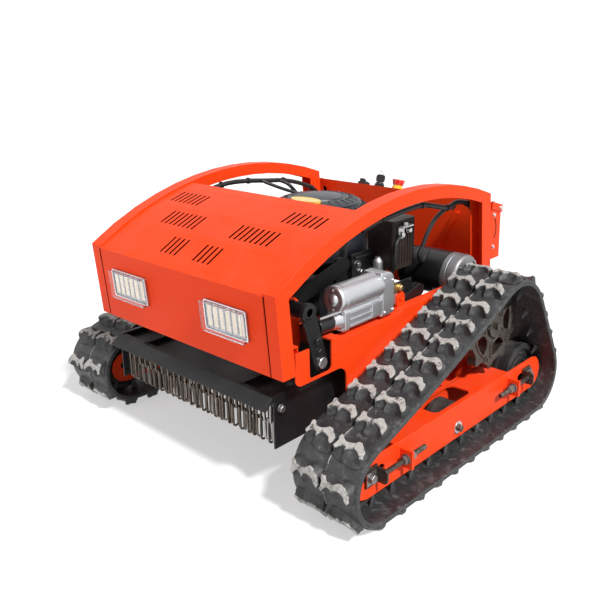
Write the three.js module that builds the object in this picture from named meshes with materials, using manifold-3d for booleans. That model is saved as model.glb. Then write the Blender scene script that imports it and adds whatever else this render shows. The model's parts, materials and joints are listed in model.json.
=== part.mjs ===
// A remote control slope mower on two rubber tracks, built piece by piece.
// Millimetres, +Z up. X is zero on the machine's middle plane and the lit side
// of the machine, its left, is +X. Y is measured from the top edge of the front
// panel and grows towards the rear; the whole machine is centred at the end.
import * as THREE from 'three';
import { mergeVertices, mergeGeometries } from 'three/addons/utils/BufferGeometryUtils.js';
import Module from 'manifold-3d';

const wasm = await Module();
wasm.setup();

// Shared clearances and sheet
const seatGap = 0.3;            // between pieces that bolt or weld together
const runGap = 0.5;             // between a shaft and its bore
const cutOverrun = 20;          // how far a cutting tool passes its work
const sheet = 3;                // folded body panels
const plate = 4;                // chassis side plates
const barPlate = 8;             // levers, cranks and brackets
const roundSteps = 14;          // sides of a shaft or housing
const wheelSteps = 18;          // sides of a wheel
const smallSteps = 10;          // sides of a bolt or pin

// Arches with their posts
const archHalfWidth = 344;
const archBarWidth = 40;
const archBarHeight = 33;
const archCrestY = 505;
const archCrestZ = 659;
const archRadius = 930;
const archSteps = 12;
const frontLean = 15;
const frontPostDepth = 38;
const frontPostBottomZ = 318;
const rearPostTopY = 834;
const rearPostBottomY = 850;
const rearPostDepth = 44;

// Side plates of the chassis
const sideTopZ = 368;
const sideNoseBottomZ = 290;
const sideSkirtZ = 88;
const sideSkirtStartY = 218;
const sideRearY = 838;
const sideFlangeWidth = 30;
const dipDepth = 10;            // shallow dip of the top edge under the actuator
const dipFrontY = 206;
const dipRearY = 430;
const sideCornerRadius = 16;
const sideArchRadius = 28;
const notchFrontY = 96;
const notchRearY = 168;
const notchBottomZ = 296;
const notchRadius = 10;

// Cross members
const frontMemberY = 58;
const frontMemberDepth = 38;
const frontMemberBottomZ = 335;
const frontMemberHeight = 30;
const rearMemberY = 790;
const rearMemberDepth = 44;
const rearMemberBottomZ = 300;
const rearMemberHeight = 50;

// Hood and front panel
const hoodDrop = 5;             // hood skin below the top of the arches
const hoodRearY = 305;
const slotWidth = 4;
const slotPitch = 17.7;
const lowSlotsX = 62;
const lowSlotCount = 4;
const lowSlotsStartY = 33;
const midSlotsX = 133;
const midSlotCount = 8;
const midSlotsStartY = 115;
const topSlotsX = 212;
const topSlotCount = 7;
const topSlotsStartY = 201;
const slotLength = 50;

// Head lamps
const lampCentreX = 183;
const lampWidth = 142;
const lampHeight = 74;
const lampDepth = 20;
const lampTopZ = 460;
const lampWall = 4;
const lampCorner = 6;
const lensThickness = 4;

// Control box across the rear
const boxSideGap = 6;             // control box in from the arches' outer faces
const boxHalfWidth = archHalfWidth - boxSideGap;
const boxFrontY = 851;
const boxDepth = 54;
const boxBottomZ = 402;
const boxPadBottomZ = 430;
const boxPadHeight = 40;
const lidFrontZ = 572;
const lidRearZ = 556;
const lidSkirt = 22;
const grommetRadius = 9;
const grommetSideGap = 48;
const grommetX = archHalfWidth - grommetSideGap;
const grommetZ = 538;
const stopButtonX = -12;
const keySwitchX = -84;
const rockerX = -148;
const controlY = 877;
const stopBaseRadius = 17;
const stopBaseHeight = 12;
const stopStemRadius = 9;
const stopHeadRadius = 19.5;
const stopHeadHeight = 12;
const stopTravel = 5;
const keyBarrelRadius = 13;
const keyBarrelHeight = 14;
const keyBladeWidth = 8;
const keyHeadWidth = 32;
const keyHeadHeight = 24;
const keyThickness = 3;
const rockerWidth = 27;
const rockerLength = 30;
const rockerBezelHeight = 8;
const rockerWall = 2.5;
const rockerRise = 11;
const receiverLength = 170;
const receiverDepth = 34;
const receiverHeight = 86;

// Rubber tracks
const trackCentreX = 454.5;
const trackWidth = 180;
const beltThickness = 12;
const lugHeight = 18;
const lugLength = 34;           // along the belt
const lugCount = 29;            // in each of the two columns, 73 mm apart
const lugInset = 10;            // from the belt edge to a lug's end
const idlerRadius = 84;
const idlerWidth = 56;
const beltGap = 2.4;            // between the belt and the wheels in it
const frontIdlerY = 108;
const rearIdlerY = 802;
const driveY = 662;
const driveZ = 289;
const driveRadius = 122;
const runSag = 9;
const guideOffset = 35.5;
const guideHeight = 26;
const guideBase = 24;
const guideThickness = 7;

// Sprockets, idlers and road wheels
const sprocketTeeth = 10;
const sprocketThickness = 26;
const sprocketRootRadius = 104;
const sprocketHubRadius = 36;
const sprocketHubLength = 44;
const sprocketWindows = 5;
const windowInner = 44;
const windowOuter = 86;
const driveShaftRadius = 15;
const idlerHubRadius = 30;
const idlerDish = 12;
const axleRadius = 8;
const roadWheelY = 455;
const roadWheelRadius = 60;
const roadWheelWidth = 52;

// Track beams
const beamHalfWidth = 44;
const beamBottomZ = 62;
const beamTopZ = 152;
const beamFrontY = 61;
const beamRearY = 880;
const beamWall = 4;
const beamSlotFrontY = 377;
const beamSlotRearY = 533;
const beamRearSlotY = 700;
const beamFrontSlotEndY = 200;
const beamStubFrontY = 270;
const beamStubRearY = 590;
const beamStubDepth = 60;
const beamStubHeight = 44;
const axleSlotHeight = 22;
const axleSlotFrontStart = 90;
const axleSlotFrontEnd = 164;
const axleSlotRearStart = 752;
const axleSlotRearEnd = 822;
const tabFrontY = 222;
const tabRearY = 700;
const tabHeight = 44;
const tabReach = 34;
const tabThickness = 8;

// Tensioners
const forkReach = 26;
const forkWidth = 46;
const forkWall = 5;
const rodRadius = 6;
const rodStickOut = 70;

// Drives
const gearboxRadius = 60;
const gearboxInnerX = 282;
const motorY = 705;
const motorZ = 388;
const motorRadius = 62;
const motorInnerX = 160;
const motorCapX = 310;
const motorOuterX = 356;

// Lift: a cross shaft with levers and arms, rear cranks and tie rods
const liftY = 107;
const liftZ = 445;
const liftTubeRadius = 17;
const liftBossRadius = 21;
const armLength = 200;
const armAngle = 15 * Math.PI / 180;
const leverDropY = 39;
const leverDropZ = -128;
const actuatorPinDropY = 17;
const actuatorPinDropZ = -59;
const crankShiftY = 253;
const crankShiftZ = -115;
const leverX = 328;             // middle of the lever plates
const leverHalfWidth = 20;
const pinRadius = 8;
const pinHeadRadius = 9.5;
const tieX = 317;
const crankX = 307;
const tieHalfHeight = 9;
const armX = 266;
const hangerX = 254;
const bearingX = 278;
const bearingHalfWidth = 24;

// Actuator
const actuatorX = 311;
const clevisY = 445;
const clevisZ = 392;
const actuatorMotorRadius = 32;
const actuatorMotorRise = 50;
const actuatorMotorLength = 165;
const actuatorTubeRadius = 22;
const actuatorHousingDepth = 34;
const actuatorHousingHalfWidth = 26;
const actuatorRodRadius = 12;
const actuatorNoseY = 205;
const rodEyeRadius = 15;
const eyePinRadius = 6;
const eyePlay = 3;
const rodEyeHalfWidth = 9;

// Cutter deck
const deckSideGap = 47;           // deck's side in from the side plates' outer faces
const deckHalfWidth = archHalfWidth - deckSideGap;
const deckCentreY = 500;
const deckFrontY = 30;
const deckTopZ = 250;
const deckBottomZ = 137;
const deckSheet = 4;
const deckSteps = 8;
const apronTopY = 27;
const apronTopZ = 262;
const apronBottomY = 2;
const apronBottomZ = 237;
const apronSheet = 5;
const deckRibX = 180;
const deckRibHeight = 14;
const deckRibWidth = 12;
const curtainY = 47;
const curtainZ = 232;
const curtainRodRadius = 4.2;
const chainPitch = 24;
const chainLinks = 2;
const chainLength = 100;
const chainWire = 5;
const chainTouch = 0.8;         // how far a hanging link bears into what holds it
const chainWidth = 20;
const bladeLength = 540;
const bladeWidth = 60;
const bladeThickness = 6;
const bladeZ = 158;
const bladeHubRadius = 30;
const spindleRadius = 14;
const spindleBoreRadius = 40;

// Engine, upright shaft, carried by the deck
const engineBaseRadius = 95;
const engineBaseHeight = 12;
const crankcaseRadius = 120;
const crankcaseTopZ = 420;
const cowlRadius = 147;
const cowlBottomZ = 440;
const cowlTopZ = 606;
const cowlWall = 4;
const cylinderReach = 190;
const cylinderHalfWidth = 52;
const cylinderBottomZ = 300;
const cylinderTopZ = 410;
const finCount = 4;
const finDepth = 7;
const mufflerMinX = 150;
const mufflerMaxX = 240;
const mufflerFrontY = 528;
const mufflerRearY = 626;
const mufflerBottomZ = 424;
const mufflerTopZ = 556;
const guardSlotCount = 7;
const airBoxLength = 130;
const airBoxDepth = 74;
const airBoxHeight = 96;
const batteryLength = 165;
const batteryDepth = 125;
const batteryHeight = 100;
const batteryX = 130;
const batteryY = 210;

// Wiring
const loomRadius = 7;

// Finishes
const finish = (color, roughness, metalness) =>
  new THREE.MeshStandardMaterial({ color, roughness, metalness });
const redPaint = finish(0xf0401c, 0.42, 0.0);
const blackPaint = finish(0x17181a, 0.5, 0.0);
const rubber = finish(0x3a3b3c, 0.85, 0.0);
const castMetal = finish(0x8d9094, 0.45, 0.9);
const darkIron = finish(0x2b2a29, 0.6, 0.7);
const zinc = finish(0xb8bcc0, 0.35, 0.9);
const blackPlastic = finish(0x141517, 0.45, 0.0);
const lampSilver = finish(0xc9cbd2, 0.3, 0.4);
const lampClear = finish(0xe8eaf2, 0.08, 0.0);
const stopRed = finish(0xd81c12, 0.35, 0.0);
const stopYellow = finish(0xf2c80f, 0.4, 0.0);

// Solids: a closed geometry made ready for joining and cutting, and back
function solid(geometry) {
  const bare = new THREE.BufferGeometry();
  bare.setAttribute('position', geometry.getAttribute('position').clone());
  if (geometry.index) bare.setIndex(geometry.index.clone());
  const merged = mergeVertices(bare, 1e-4);
  return new wasm.Manifold(new wasm.Mesh({
    numProp: 3,
    vertProperties: new Float32Array(merged.getAttribute('position').array),
    triVerts: new Uint32Array(merged.index.array),
  }));
}
function surface(manifold) {
  const mesh = manifold.getMesh();
  const geometry = new THREE.BufferGeometry();
  geometry.setAttribute('position', new THREE.BufferAttribute(new Float32Array(mesh.vertProperties), 3));
  geometry.setIndex(new THREE.BufferAttribute(new Uint32Array(mesh.triVerts), 1));
  const flat = geometry.toNonIndexed();
  flat.computeVertexNormals();
  return flat;
}
const join = (...pieces) => pieces.reduce((whole, piece) => whole.add(piece));
const cut = (whole, ...tools) => tools.reduce((rest, tool) => rest.subtract(tool), whole);

// Outlines: along X a shape's own axes are Y and Z, along Y they are X and Z
const axisX = new THREE.Vector3(1, 0, 0);
const axisY = new THREE.Vector3(0, 1, 0);
const axisZ = new THREE.Vector3(0, 0, 1);
const layAlongX = new THREE.Matrix4().makeBasis(axisY, axisZ, axisX);
const layAlongY = new THREE.Matrix4().makeBasis(axisX, axisZ, axisY.clone().negate());
function polygon(points) {
  const corners = points.map(([a, b]) => new THREE.Vector2(a, b));
  return new THREE.Shape(THREE.ShapeUtils.isClockWise(corners) ? corners.reverse() : corners);
}
function extrude(shape, depth, steps = 3) {
  return new THREE.ExtrudeGeometry(shape, { depth, bevelEnabled: false, curveSegments: steps });
}
function alongX(shape, x0, x1, steps) {
  return solid(extrude(shape, x1 - x0, steps).applyMatrix4(layAlongX).translate(x0, 0, 0));
}
function alongY(shape, y0, y1, steps) {
  return solid(extrude(shape, y1 - y0, steps).applyMatrix4(layAlongY).translate(0, y1, 0));
}
function alongZ(shape, z0, z1, steps) {
  return solid(extrude(shape, z1 - z0, steps).translate(0, 0, z0));
}
function block(x0, x1, y0, y1, z0, z1) {
  const geometry = new THREE.BoxGeometry(x1 - x0, y1 - y0, z1 - z0);
  return solid(geometry.translate((x0 + x1) / 2, (y0 + y1) / 2, (z0 + z1) / 2));
}
function rodX(radius, x0, x1, y, z, sides = roundSteps) {
  const geometry = new THREE.CylinderGeometry(radius, radius, x1 - x0, sides);
  return solid(geometry.rotateZ(Math.PI / 2).translate((x0 + x1) / 2, y, z));
}
function rodY(radius, y0, y1, x, z, sides = roundSteps) {
  const geometry = new THREE.CylinderGeometry(radius, radius, y1 - y0, sides);
  return solid(geometry.translate(x, (y0 + y1) / 2, z));
}
function rodZ(radius, z0, z1, x, y, sides = roundSteps) {
  const geometry = new THREE.CylinderGeometry(radius, radius, z1 - z0, sides);
  return solid(geometry.rotateX(Math.PI / 2).translate(x, y, (z0 + z1) / 2));
}
// A bore that lets a shaft with so many sides turn in it
const boreFor = (radius, sides = smallSteps) => (radius + runGap) / Math.cos(Math.PI / sides);
function turnedX(profile, y, z, sides = roundSteps) {
  const points = profile.map(([x, radius]) => new THREE.Vector2(radius, x));
  const geometry = new THREE.LatheGeometry(points, sides).rotateZ(-Math.PI / 2);
  return solid(geometry.translate(0, y, z));
}
function turnedZ(profile, x, y, sides = roundSteps) {
  const points = profile.map(([radius, z]) => new THREE.Vector2(radius, z));
  return solid(new THREE.LatheGeometry(points, sides).rotateX(Math.PI / 2).translate(x, y, 0));
}
function roundedBox(width, height, radius) {
  const shape = new THREE.Shape();
  const x = width / 2 - radius;
  const y = height / 2 - radius;
  shape.absarc(x, y, radius, 0, Math.PI / 2);
  shape.absarc(-x, y, radius, Math.PI / 2, Math.PI);
  shape.absarc(-x, -y, radius, Math.PI, Math.PI * 1.5);
  shape.absarc(x, -y, radius, Math.PI * 1.5, Math.PI * 2);
  return shape;
}
// A bar with round ends between two pins, drawn in the plane of its faces
function strap(y0, z0, y1, z1, radius) {
  const angle = Math.atan2(z1 - z0, y1 - y0);
  const shape = new THREE.Shape();
  shape.absarc(y1, z1, radius, angle - Math.PI / 2, angle + Math.PI / 2);
  shape.absarc(y0, z0, radius, angle + Math.PI / 2, angle + Math.PI * 1.5);
  return shape;
}
function mirrorX(manifold) {
  return manifold.mirror([1, 0, 0]);
}

// The machine: one group, and a function that adds a named piece to it
const machine = new THREE.Group();
machine.name = 'slope_mower';
function add(name, manifold, material) {
  const mesh = new THREE.Mesh(surface(manifold), material);
  mesh.name = name;
  machine.add(mesh);
}
function addPair(name, manifold, material) {
  add(`${name}_left`, manifold, material);
  add(`${name}_right`, mirrorX(manifold), material);
}

// Arch: front post, curved bar and rear post, folded as a channel that is open
// towards the engine bay
const archZ = (y, radius = archRadius) =>
  archCrestZ - archRadius + Math.sqrt(radius ** 2 - (y - archCrestY) ** 2);
function archOutline(outerInset, innerInset, extraLength) {
  const outer = [];
  const inner = [];
  const outerRadius = archRadius - outerInset;
  const innerRadius = archRadius - archBarHeight + innerInset;
  const frontY = outerInset;
  const rearY = rearPostTopY - outerInset;
  const innerFrontY = frontPostDepth - innerInset;
  const innerRearY = rearPostTopY - rearPostDepth + innerInset;
  for (let i = 0; i <= archSteps; i++) {
    const y = frontY + (rearY - frontY) * i / archSteps;
    outer.push([y, archZ(y, outerRadius)]);
    const back = innerRearY + (innerFrontY - innerRearY) * i / archSteps;
    inner.push([back, archZ(back, innerRadius)]);
  }
  const bottomFrontZ = frontPostBottomZ - extraLength;
  const bottomRearZ = sideTopZ + seatGap - extraLength;
  return polygon([
    [frontLean + outerInset, bottomFrontZ], ...outer,
    [rearPostBottomY - outerInset, bottomRearZ],
    [rearPostBottomY - rearPostDepth + innerInset, bottomRearZ], ...inner,
    [frontLean + frontPostDepth - innerInset, bottomFrontZ],
  ].reverse());
}
const archInnerX = archHalfWidth - archBarWidth;
// The rear post carries the control box on a welded pad
const boxPad = block(archInnerX + sheet * 2, archHalfWidth - sheet * 2, rearPostBottomY - sheet * 4,
  boxFrontY - seatGap, boxPadBottomZ, boxPadBottomZ + boxPadHeight);
addPair('arch', join(cut(
  alongX(archOutline(0, 0, 0), archInnerX, archHalfWidth),
  alongX(archOutline(sheet, -cutOverrun, cutOverrun), archInnerX + sheet, archHalfWidth - sheet),
), boxPad), redPaint);

// Side plate: front nose behind the front post, notch for the lift lever,
// archway over the deck's side, skirt to the rear and a flange folded inwards
const sideFrontY = frontLean + frontPostDepth + seatGap;
const sideInnerX = archHalfWidth - plate;
const topEdge = (drop) => [
  [notchRearY, sideTopZ - drop], [dipFrontY - dipDepth, sideTopZ - drop],
  [dipFrontY, sideTopZ - dipDepth - drop], [dipRearY - dipDepth, sideTopZ - dipDepth - drop],
  [dipRearY, sideTopZ - drop], [sideRearY, sideTopZ - drop],
];
function sideOutline() {
  const shape = new THREE.Shape();
  shape.moveTo(sideFrontY, sideTopZ);
  shape.lineTo(sideFrontY, sideNoseBottomZ + sideCornerRadius);
  shape.absarc(sideFrontY + sideCornerRadius, sideNoseBottomZ + sideCornerRadius, sideCornerRadius,
    Math.PI, Math.PI * 1.5);
  shape.absarc(sideSkirtStartY - sideArchRadius, sideNoseBottomZ - sideArchRadius, sideArchRadius,
    Math.PI / 2, 0, true);
  shape.absarc(sideSkirtStartY + sideCornerRadius, sideSkirtZ + sideCornerRadius, sideCornerRadius,
    Math.PI, Math.PI * 1.5);
  shape.absarc(sideRearY - sideCornerRadius, sideSkirtZ + sideCornerRadius, sideCornerRadius,
    Math.PI * 1.5, Math.PI * 2);
  topEdge(0).reverse().forEach(([y, z]) => shape.lineTo(y, z));
  shape.absarc(notchRearY - notchRadius, notchBottomZ + notchRadius, notchRadius, 0, -Math.PI / 2, true);
  shape.absarc(notchFrontY + notchRadius, notchBottomZ + notchRadius, notchRadius,
    Math.PI * 1.5, Math.PI, true);
  shape.lineTo(notchFrontY, sideTopZ);
  return shape;
}
const plateBoreRadius = boreFor(driveShaftRadius, roundSteps);
const crankY = liftY + crankShiftY;
const crankZ = liftZ + crankShiftZ;
const flangeInnerX = archHalfWidth - sideFlangeWidth;
const crankStub = rodX(pinRadius, crankX - barPlate, sideInnerX, crankY, crankZ, smallSteps);
const sidePlate = join(
  cut(
    join(
      alongX(sideOutline(), sideInnerX, archHalfWidth, 2),
      alongX(polygon([...topEdge(0), ...topEdge(plate).reverse()]), flangeInnerX, archHalfWidth),
    ),
    rodX(plateBoreRadius, sideInnerX - cutOverrun, archHalfWidth + cutOverrun, driveY, driveZ),
    rodX(motorRadius + sheet, flangeInnerX - cutOverrun, archHalfWidth + cutOverrun, motorY, motorZ),
  ),
  crankStub,
);
// The left plate also carries the actuator: an ear on its flange with a pin
const earX0 = actuatorX + rodEyeHalfWidth + seatGap;
const earX1 = earX0 + barPlate;
add('side_plate_left', join(
  sidePlate,
  cut(
    alongX(strap(clevisY, sideTopZ - plate, clevisY, clevisZ, rodEyeRadius), earX0, earX1),
    block(earX0 - cutOverrun, earX1 + cutOverrun, clevisY - cutOverrun, clevisY + cutOverrun,
      sideTopZ - cutOverrun * 2, sideTopZ - plate),
  ),
  rodX(pinRadius, actuatorX - rodEyeHalfWidth - sheet, earX1 + sheet, clevisY, clevisZ, smallSteps),
), redPaint);
add('side_plate_right', mirrorX(sidePlate), redPaint);

// Front cross member with the two bearing plates of the lift shaft and the
// battery tray; rear cross member between the side plates
const batteryFrontY = batteryY - batteryDepth / 2;
const batteryRearY = batteryY + batteryDepth / 2;
const frontMemberTopZ = frontMemberBottomZ + frontMemberHeight;
const frontMemberRearY = frontMemberY + frontMemberDepth;
const memberHalfWidth = archInnerX + sheet * 2;
const trayTopZ = frontMemberTopZ;
const bearingPlate = cut(
  alongX(strap(liftY, liftZ, liftY, frontMemberBottomZ + bearingHalfWidth, bearingHalfWidth),
    bearingX - barPlate / 2, bearingX + barPlate / 2),
  rodX(boreFor(liftTubeRadius, roundSteps), bearingX - cutOverrun, bearingX + cutOverrun, liftY, liftZ),
);
// A square tube from side to side, with what is welded to its outside
function hollowBar(x, y0, y1, z0, z1, ...welded) {
  return cut(
    join(block(-x, x, y0, y1, z0, z1), ...welded),
    block(-x - cutOverrun, x + cutOverrun, y0 + sheet, y1 - sheet, z0 + sheet, z1 - sheet),
  );
}
add('front_crossmember', hollowBar(
  memberHalfWidth, frontMemberY, frontMemberRearY, frontMemberBottomZ, frontMemberTopZ,
  bearingPlate,
  mirrorX(bearingPlate),
  block(batteryX - batteryLength / 2, batteryX + batteryLength / 2, frontMemberRearY - sheet, batteryRearY,
    trayTopZ - sheet, trayTopZ),
), redPaint);
add('rear_crossmember', hollowBar(sideInnerX - seatGap, rearMemberY, rearMemberY + rearMemberDepth,
  rearMemberBottomZ, rearMemberBottomZ + rearMemberHeight), redPaint);

// Battery on its tray, with two posts
const batteryBottomZ = trayTopZ + seatGap;
const batteryTopZ = batteryBottomZ + batteryHeight;
const terminal = (x) => rodZ(pinRadius, batteryTopZ - sheet, batteryTopZ + pinRadius * 2, x,
  batteryFrontY + pinRadius * 3, smallSteps);
add('battery', join(
  block(batteryX - batteryLength / 2, batteryX + batteryLength / 2, batteryFrontY, batteryRearY,
    batteryBottomZ, batteryTopZ),
  terminal(batteryX - batteryLength / 3),
  terminal(batteryX + batteryLength / 3),
), blackPlastic);

// Hood: one sheet that follows the arches and folds down as the front panel,
// with six groups of air slots
const hoodRadius = archRadius - hoodDrop;
const hoodHalfWidth = archInnerX - seatGap;
// The curve is drawn in flats that meet between the groups of slots
const hoodFolds = [
  0, (lowSlotsStartY + sheet) / 2, (lowSlotsStartY + slotLength + midSlotsStartY) / 2,
  (midSlotsStartY + slotLength + topSlotsStartY) / 2, (topSlotsStartY + slotLength + hoodRearY) / 2, hoodRearY,
];
function hoodOutline() {
  const outer = hoodFolds.map((y) => [y, archZ(y, hoodRadius)]);
  const inner = hoodFolds.map((y) => [Math.max(y, sheet), archZ(Math.max(y, sheet), hoodRadius - sheet)]);
  return polygon([
    [frontLean, frontPostBottomZ], ...outer, ...inner.reverse(), [frontLean + sheet, frontPostBottomZ],
  ]);
}
function slotGroup(centreX, count, startY) {
  const tools = [];
  for (let i = 0; i < count; i++) {
    const x = centreX + (i - (count - 1) / 2) * slotPitch;
    const top = archZ(startY + slotLength) + cutOverrun;
    const bottom = archZ(startY) - cutOverrun * 2;
    tools.push(block(x - slotWidth / 2, x + slotWidth / 2, startY, startY + slotLength, bottom, top));
  }
  return tools;
}
const slotGroups = [
  [lowSlotsX, lowSlotCount, lowSlotsStartY],
  [midSlotsX, midSlotCount, midSlotsStartY],
  [topSlotsX, topSlotCount, topSlotsStartY],
];
const slots = slotGroups.flatMap(([x, count, y]) => [...slotGroup(x, count, y), ...slotGroup(-x, count, y)]);
add('hood', cut(alongX(hoodOutline(), -hoodHalfWidth, hoodHalfWidth), ...slots), redPaint);

// Head lamps: an open housing that stands on the front panel and a clear lens
const frontFaceTopZ = archZ(0, hoodRadius);
const panelTilt = Math.atan2(frontLean, frontFaceTopZ - frontPostBottomZ);
const panelY = (z) => (frontFaceTopZ - z) * Math.tan(panelTilt);
const lampCentreZ = lampTopZ - lampHeight / 2;
function placeLamp(manifold, side) {
  return manifold.rotate([panelTilt * 180 / Math.PI, 0, 0])
    .translate([side * lampCentreX, panelY(lampCentreZ) - seatGap, lampCentreZ]);
}
const lampShape = (inset) => roundedBox(lampWidth - inset * 2, lampHeight - inset * 2, lampCorner);
const lampBody = cut(
  alongY(lampShape(0), -lampDepth + lensThickness, 0, 1),
  alongY(lampShape(lampWall), -lampDepth, -lampWall, 1),
);
const lampLens = join(
  alongY(lampShape(0), -lampDepth, -lampDepth + lensThickness - seatGap, 1),
  alongY(lampShape(lampWall + seatGap), -lampDepth + sheet, -lampDepth + lensThickness * 2, 1),
);
for (const [side, name] of [[1, 'left'], [-1, 'right']]) {
  add(`headlamp_housing_${name}`, placeLamp(lampBody, side), lampSilver);
  add(`headlamp_lens_${name}`, placeLamp(lampLens, side), lampClear);
}

// Control box across the rear: an open tray, its sloping lid, the receiver
// inside, and the three controls on the lid
const boxRearY = boxFrontY + boxDepth;
const lidSlope = (lidRearZ - lidFrontZ) / boxDepth;
const lidZ = (y) => lidFrontZ + (y - boxFrontY) * lidSlope;
const trayInnerX = boxHalfWidth - sheet;
const boxShape = polygon([
  [boxFrontY, boxBottomZ], [boxRearY, boxBottomZ],
  [boxRearY, lidZ(boxRearY) - sheet - seatGap], [boxFrontY, lidZ(boxFrontY) - sheet - seatGap],
]);
add('control_box', cut(
  alongX(boxShape, -boxHalfWidth, boxHalfWidth),
  block(-trayInnerX, trayInnerX, boxFrontY + sheet, boxRearY - sheet, boxBottomZ + sheet, lidFrontZ + cutOverrun),
  rodY(grommetRadius, boxFrontY - cutOverrun, boxFrontY + sheet * 2, -grommetX, grommetZ, smallSteps),
), redPaint);
const lidOuterX = boxHalfWidth + seatGap + sheet;
const lidShape = polygon([
  [boxFrontY, lidZ(boxFrontY) - sheet], [boxRearY + seatGap, lidZ(boxRearY + seatGap) - sheet],
  [boxRearY + seatGap, lidZ(boxRearY) - lidSkirt], [boxRearY + seatGap + sheet, lidZ(boxRearY) - lidSkirt],
  [boxRearY + seatGap + sheet, lidZ(boxRearY + sheet)], [boxFrontY, lidZ(boxFrontY)],
]);
const lidCheek = polygon([
  [boxFrontY, lidZ(boxFrontY) - lidSkirt], [boxRearY + seatGap + sheet, lidZ(boxRearY) - lidSkirt],
  [boxRearY + seatGap + sheet, lidZ(boxRearY + sheet)], [boxFrontY, lidZ(boxFrontY)],
]);
const lidTilt = Math.atan(lidSlope);
// What stands square on the lid is built on a level plane at zero and laid here
function onLid(manifold, x) {
  return manifold.rotate([lidTilt * 180 / Math.PI, 0, 0]).translate([x, controlY, lidZ(controlY) + seatGap]);
}
const stopBore = stopStemRadius + runGap;
add('control_box_lid', cut(
  join(
    alongX(lidShape, -lidOuterX, lidOuterX),
    alongX(lidCheek, lidOuterX - sheet, lidOuterX),
    alongX(lidCheek, -lidOuterX, -lidOuterX + sheet),
  ),
  onLid(rodZ(stopBore, -cutOverrun, cutOverrun, 0, 0), stopButtonX),
), redPaint);
const receiverBottomZ = boxBottomZ + sheet + seatGap;
add('receiver_unit', block(-receiverLength / 2, receiverLength / 2,
  boxFrontY + (boxDepth - receiverDepth) / 2, boxFrontY + (boxDepth + receiverDepth) / 2,
  receiverBottomZ, receiverBottomZ + receiverHeight), blackPlastic);

// Emergency stop, key switch with its key, and rocker in its bezel
const stopHeadBottom = stopBaseHeight + stopTravel + seatGap;
add('e_stop_base', onLid(turnedZ([
  [stopBore, 0], [stopBaseRadius, 0], [stopBaseRadius, stopBaseHeight * 0.7],
  [stopBaseRadius - sheet, stopBaseHeight], [stopBore, stopBaseHeight], [stopBore, 0],
], 0, 0), stopButtonX), stopYellow);
add('e_stop_button', onLid(turnedZ([
  [0, -sheet], [stopStemRadius, -sheet], [stopStemRadius, stopHeadBottom],
  [stopHeadRadius, stopHeadBottom], [stopHeadRadius + sheet / 2, stopHeadBottom + stopHeadHeight * 0.8],
  [stopHeadRadius - sheet, stopHeadBottom + stopHeadHeight], [0, stopHeadBottom + stopHeadHeight],
], 0, 0), stopButtonX), stopRed);
add('key_switch', onLid(turnedZ([
  [keyBladeWidth / 2 + runGap, 0], [keyBarrelRadius + sheet, 0], [keyBarrelRadius + sheet, sheet],
  [keyBarrelRadius, keyBarrelHeight], [keyBladeWidth / 2 + runGap, keyBarrelHeight],
  [keyBladeWidth / 2 + runGap, 0],
], 0, 0), keySwitchX), blackPlastic);
const keyHeadBottom = keyBarrelHeight + seatGap;
add('key', onLid(join(
  block(-keyBladeWidth / 2 + runGap, keyBladeWidth / 2 - runGap, -keyThickness / 2, keyThickness / 2,
    sheet, keyHeadBottom + sheet),
  alongY(roundedBox(keyHeadWidth, keyHeadHeight, keyBladeWidth), -keyThickness, keyThickness)
    .translate([0, 0, keyHeadBottom + keyHeadHeight / 2]),
), keySwitchX), blackPlastic);
add('rocker_bezel', onLid(cut(
  block(-rockerWidth / 2, rockerWidth / 2, -rockerLength / 2, rockerLength / 2, 0, rockerBezelHeight),
  block(rockerWall - rockerWidth / 2, rockerWidth / 2 - rockerWall,
    rockerWall - rockerLength / 2, rockerLength / 2 - rockerWall, -cutOverrun, rockerBezelHeight + cutOverrun),
), rockerX), blackPlastic);
const rockerHalf = rockerLength / 2 - rockerWall - runGap * 3;
const rockerShape = polygon([
  [-rockerHalf, rockerBezelHeight - sheet / 2], [0, seatGap], [rockerHalf, rockerBezelHeight - sheet / 2],
  [rockerHalf, rockerBezelHeight + rockerRise * 0.3], [0, rockerBezelHeight + rockerRise * 0.15],
  [-rockerHalf, rockerBezelHeight + rockerRise],
]);
add('rocker', onLid(alongX(rockerShape, rockerWall + runGap - rockerWidth / 2,
  rockerWidth / 2 - rockerWall - runGap), rockerX), blackPlastic);

// Track path: round the rear idler, along the ground, round the front idler,
// up the sloping run with a little sag, round the sprocket and down again
const wheelZ = lugHeight + beltThickness + idlerRadius;
const wheels = [
  { y: rearIdlerY, z: wheelZ, radius: idlerRadius, sag: 0 },
  { y: frontIdlerY, z: wheelZ, radius: idlerRadius, sag: runSag },
  { y: driveY, z: driveZ, radius: driveRadius, sag: 0 },
];
// Outward direction of the straight run from one wheel to the next
function runNormal(a, b) {
  const distance = Math.hypot(b.y - a.y, b.z - a.z);
  return Math.atan2(b.z - a.z, b.y - a.y) + Math.acos((a.radius - b.radius) / distance);
}
const runNormals = wheels.map((wheel, i) => runNormal(wheel, wheels[(i + 1) % wheels.length]));
const pathSteps = 40;
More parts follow.
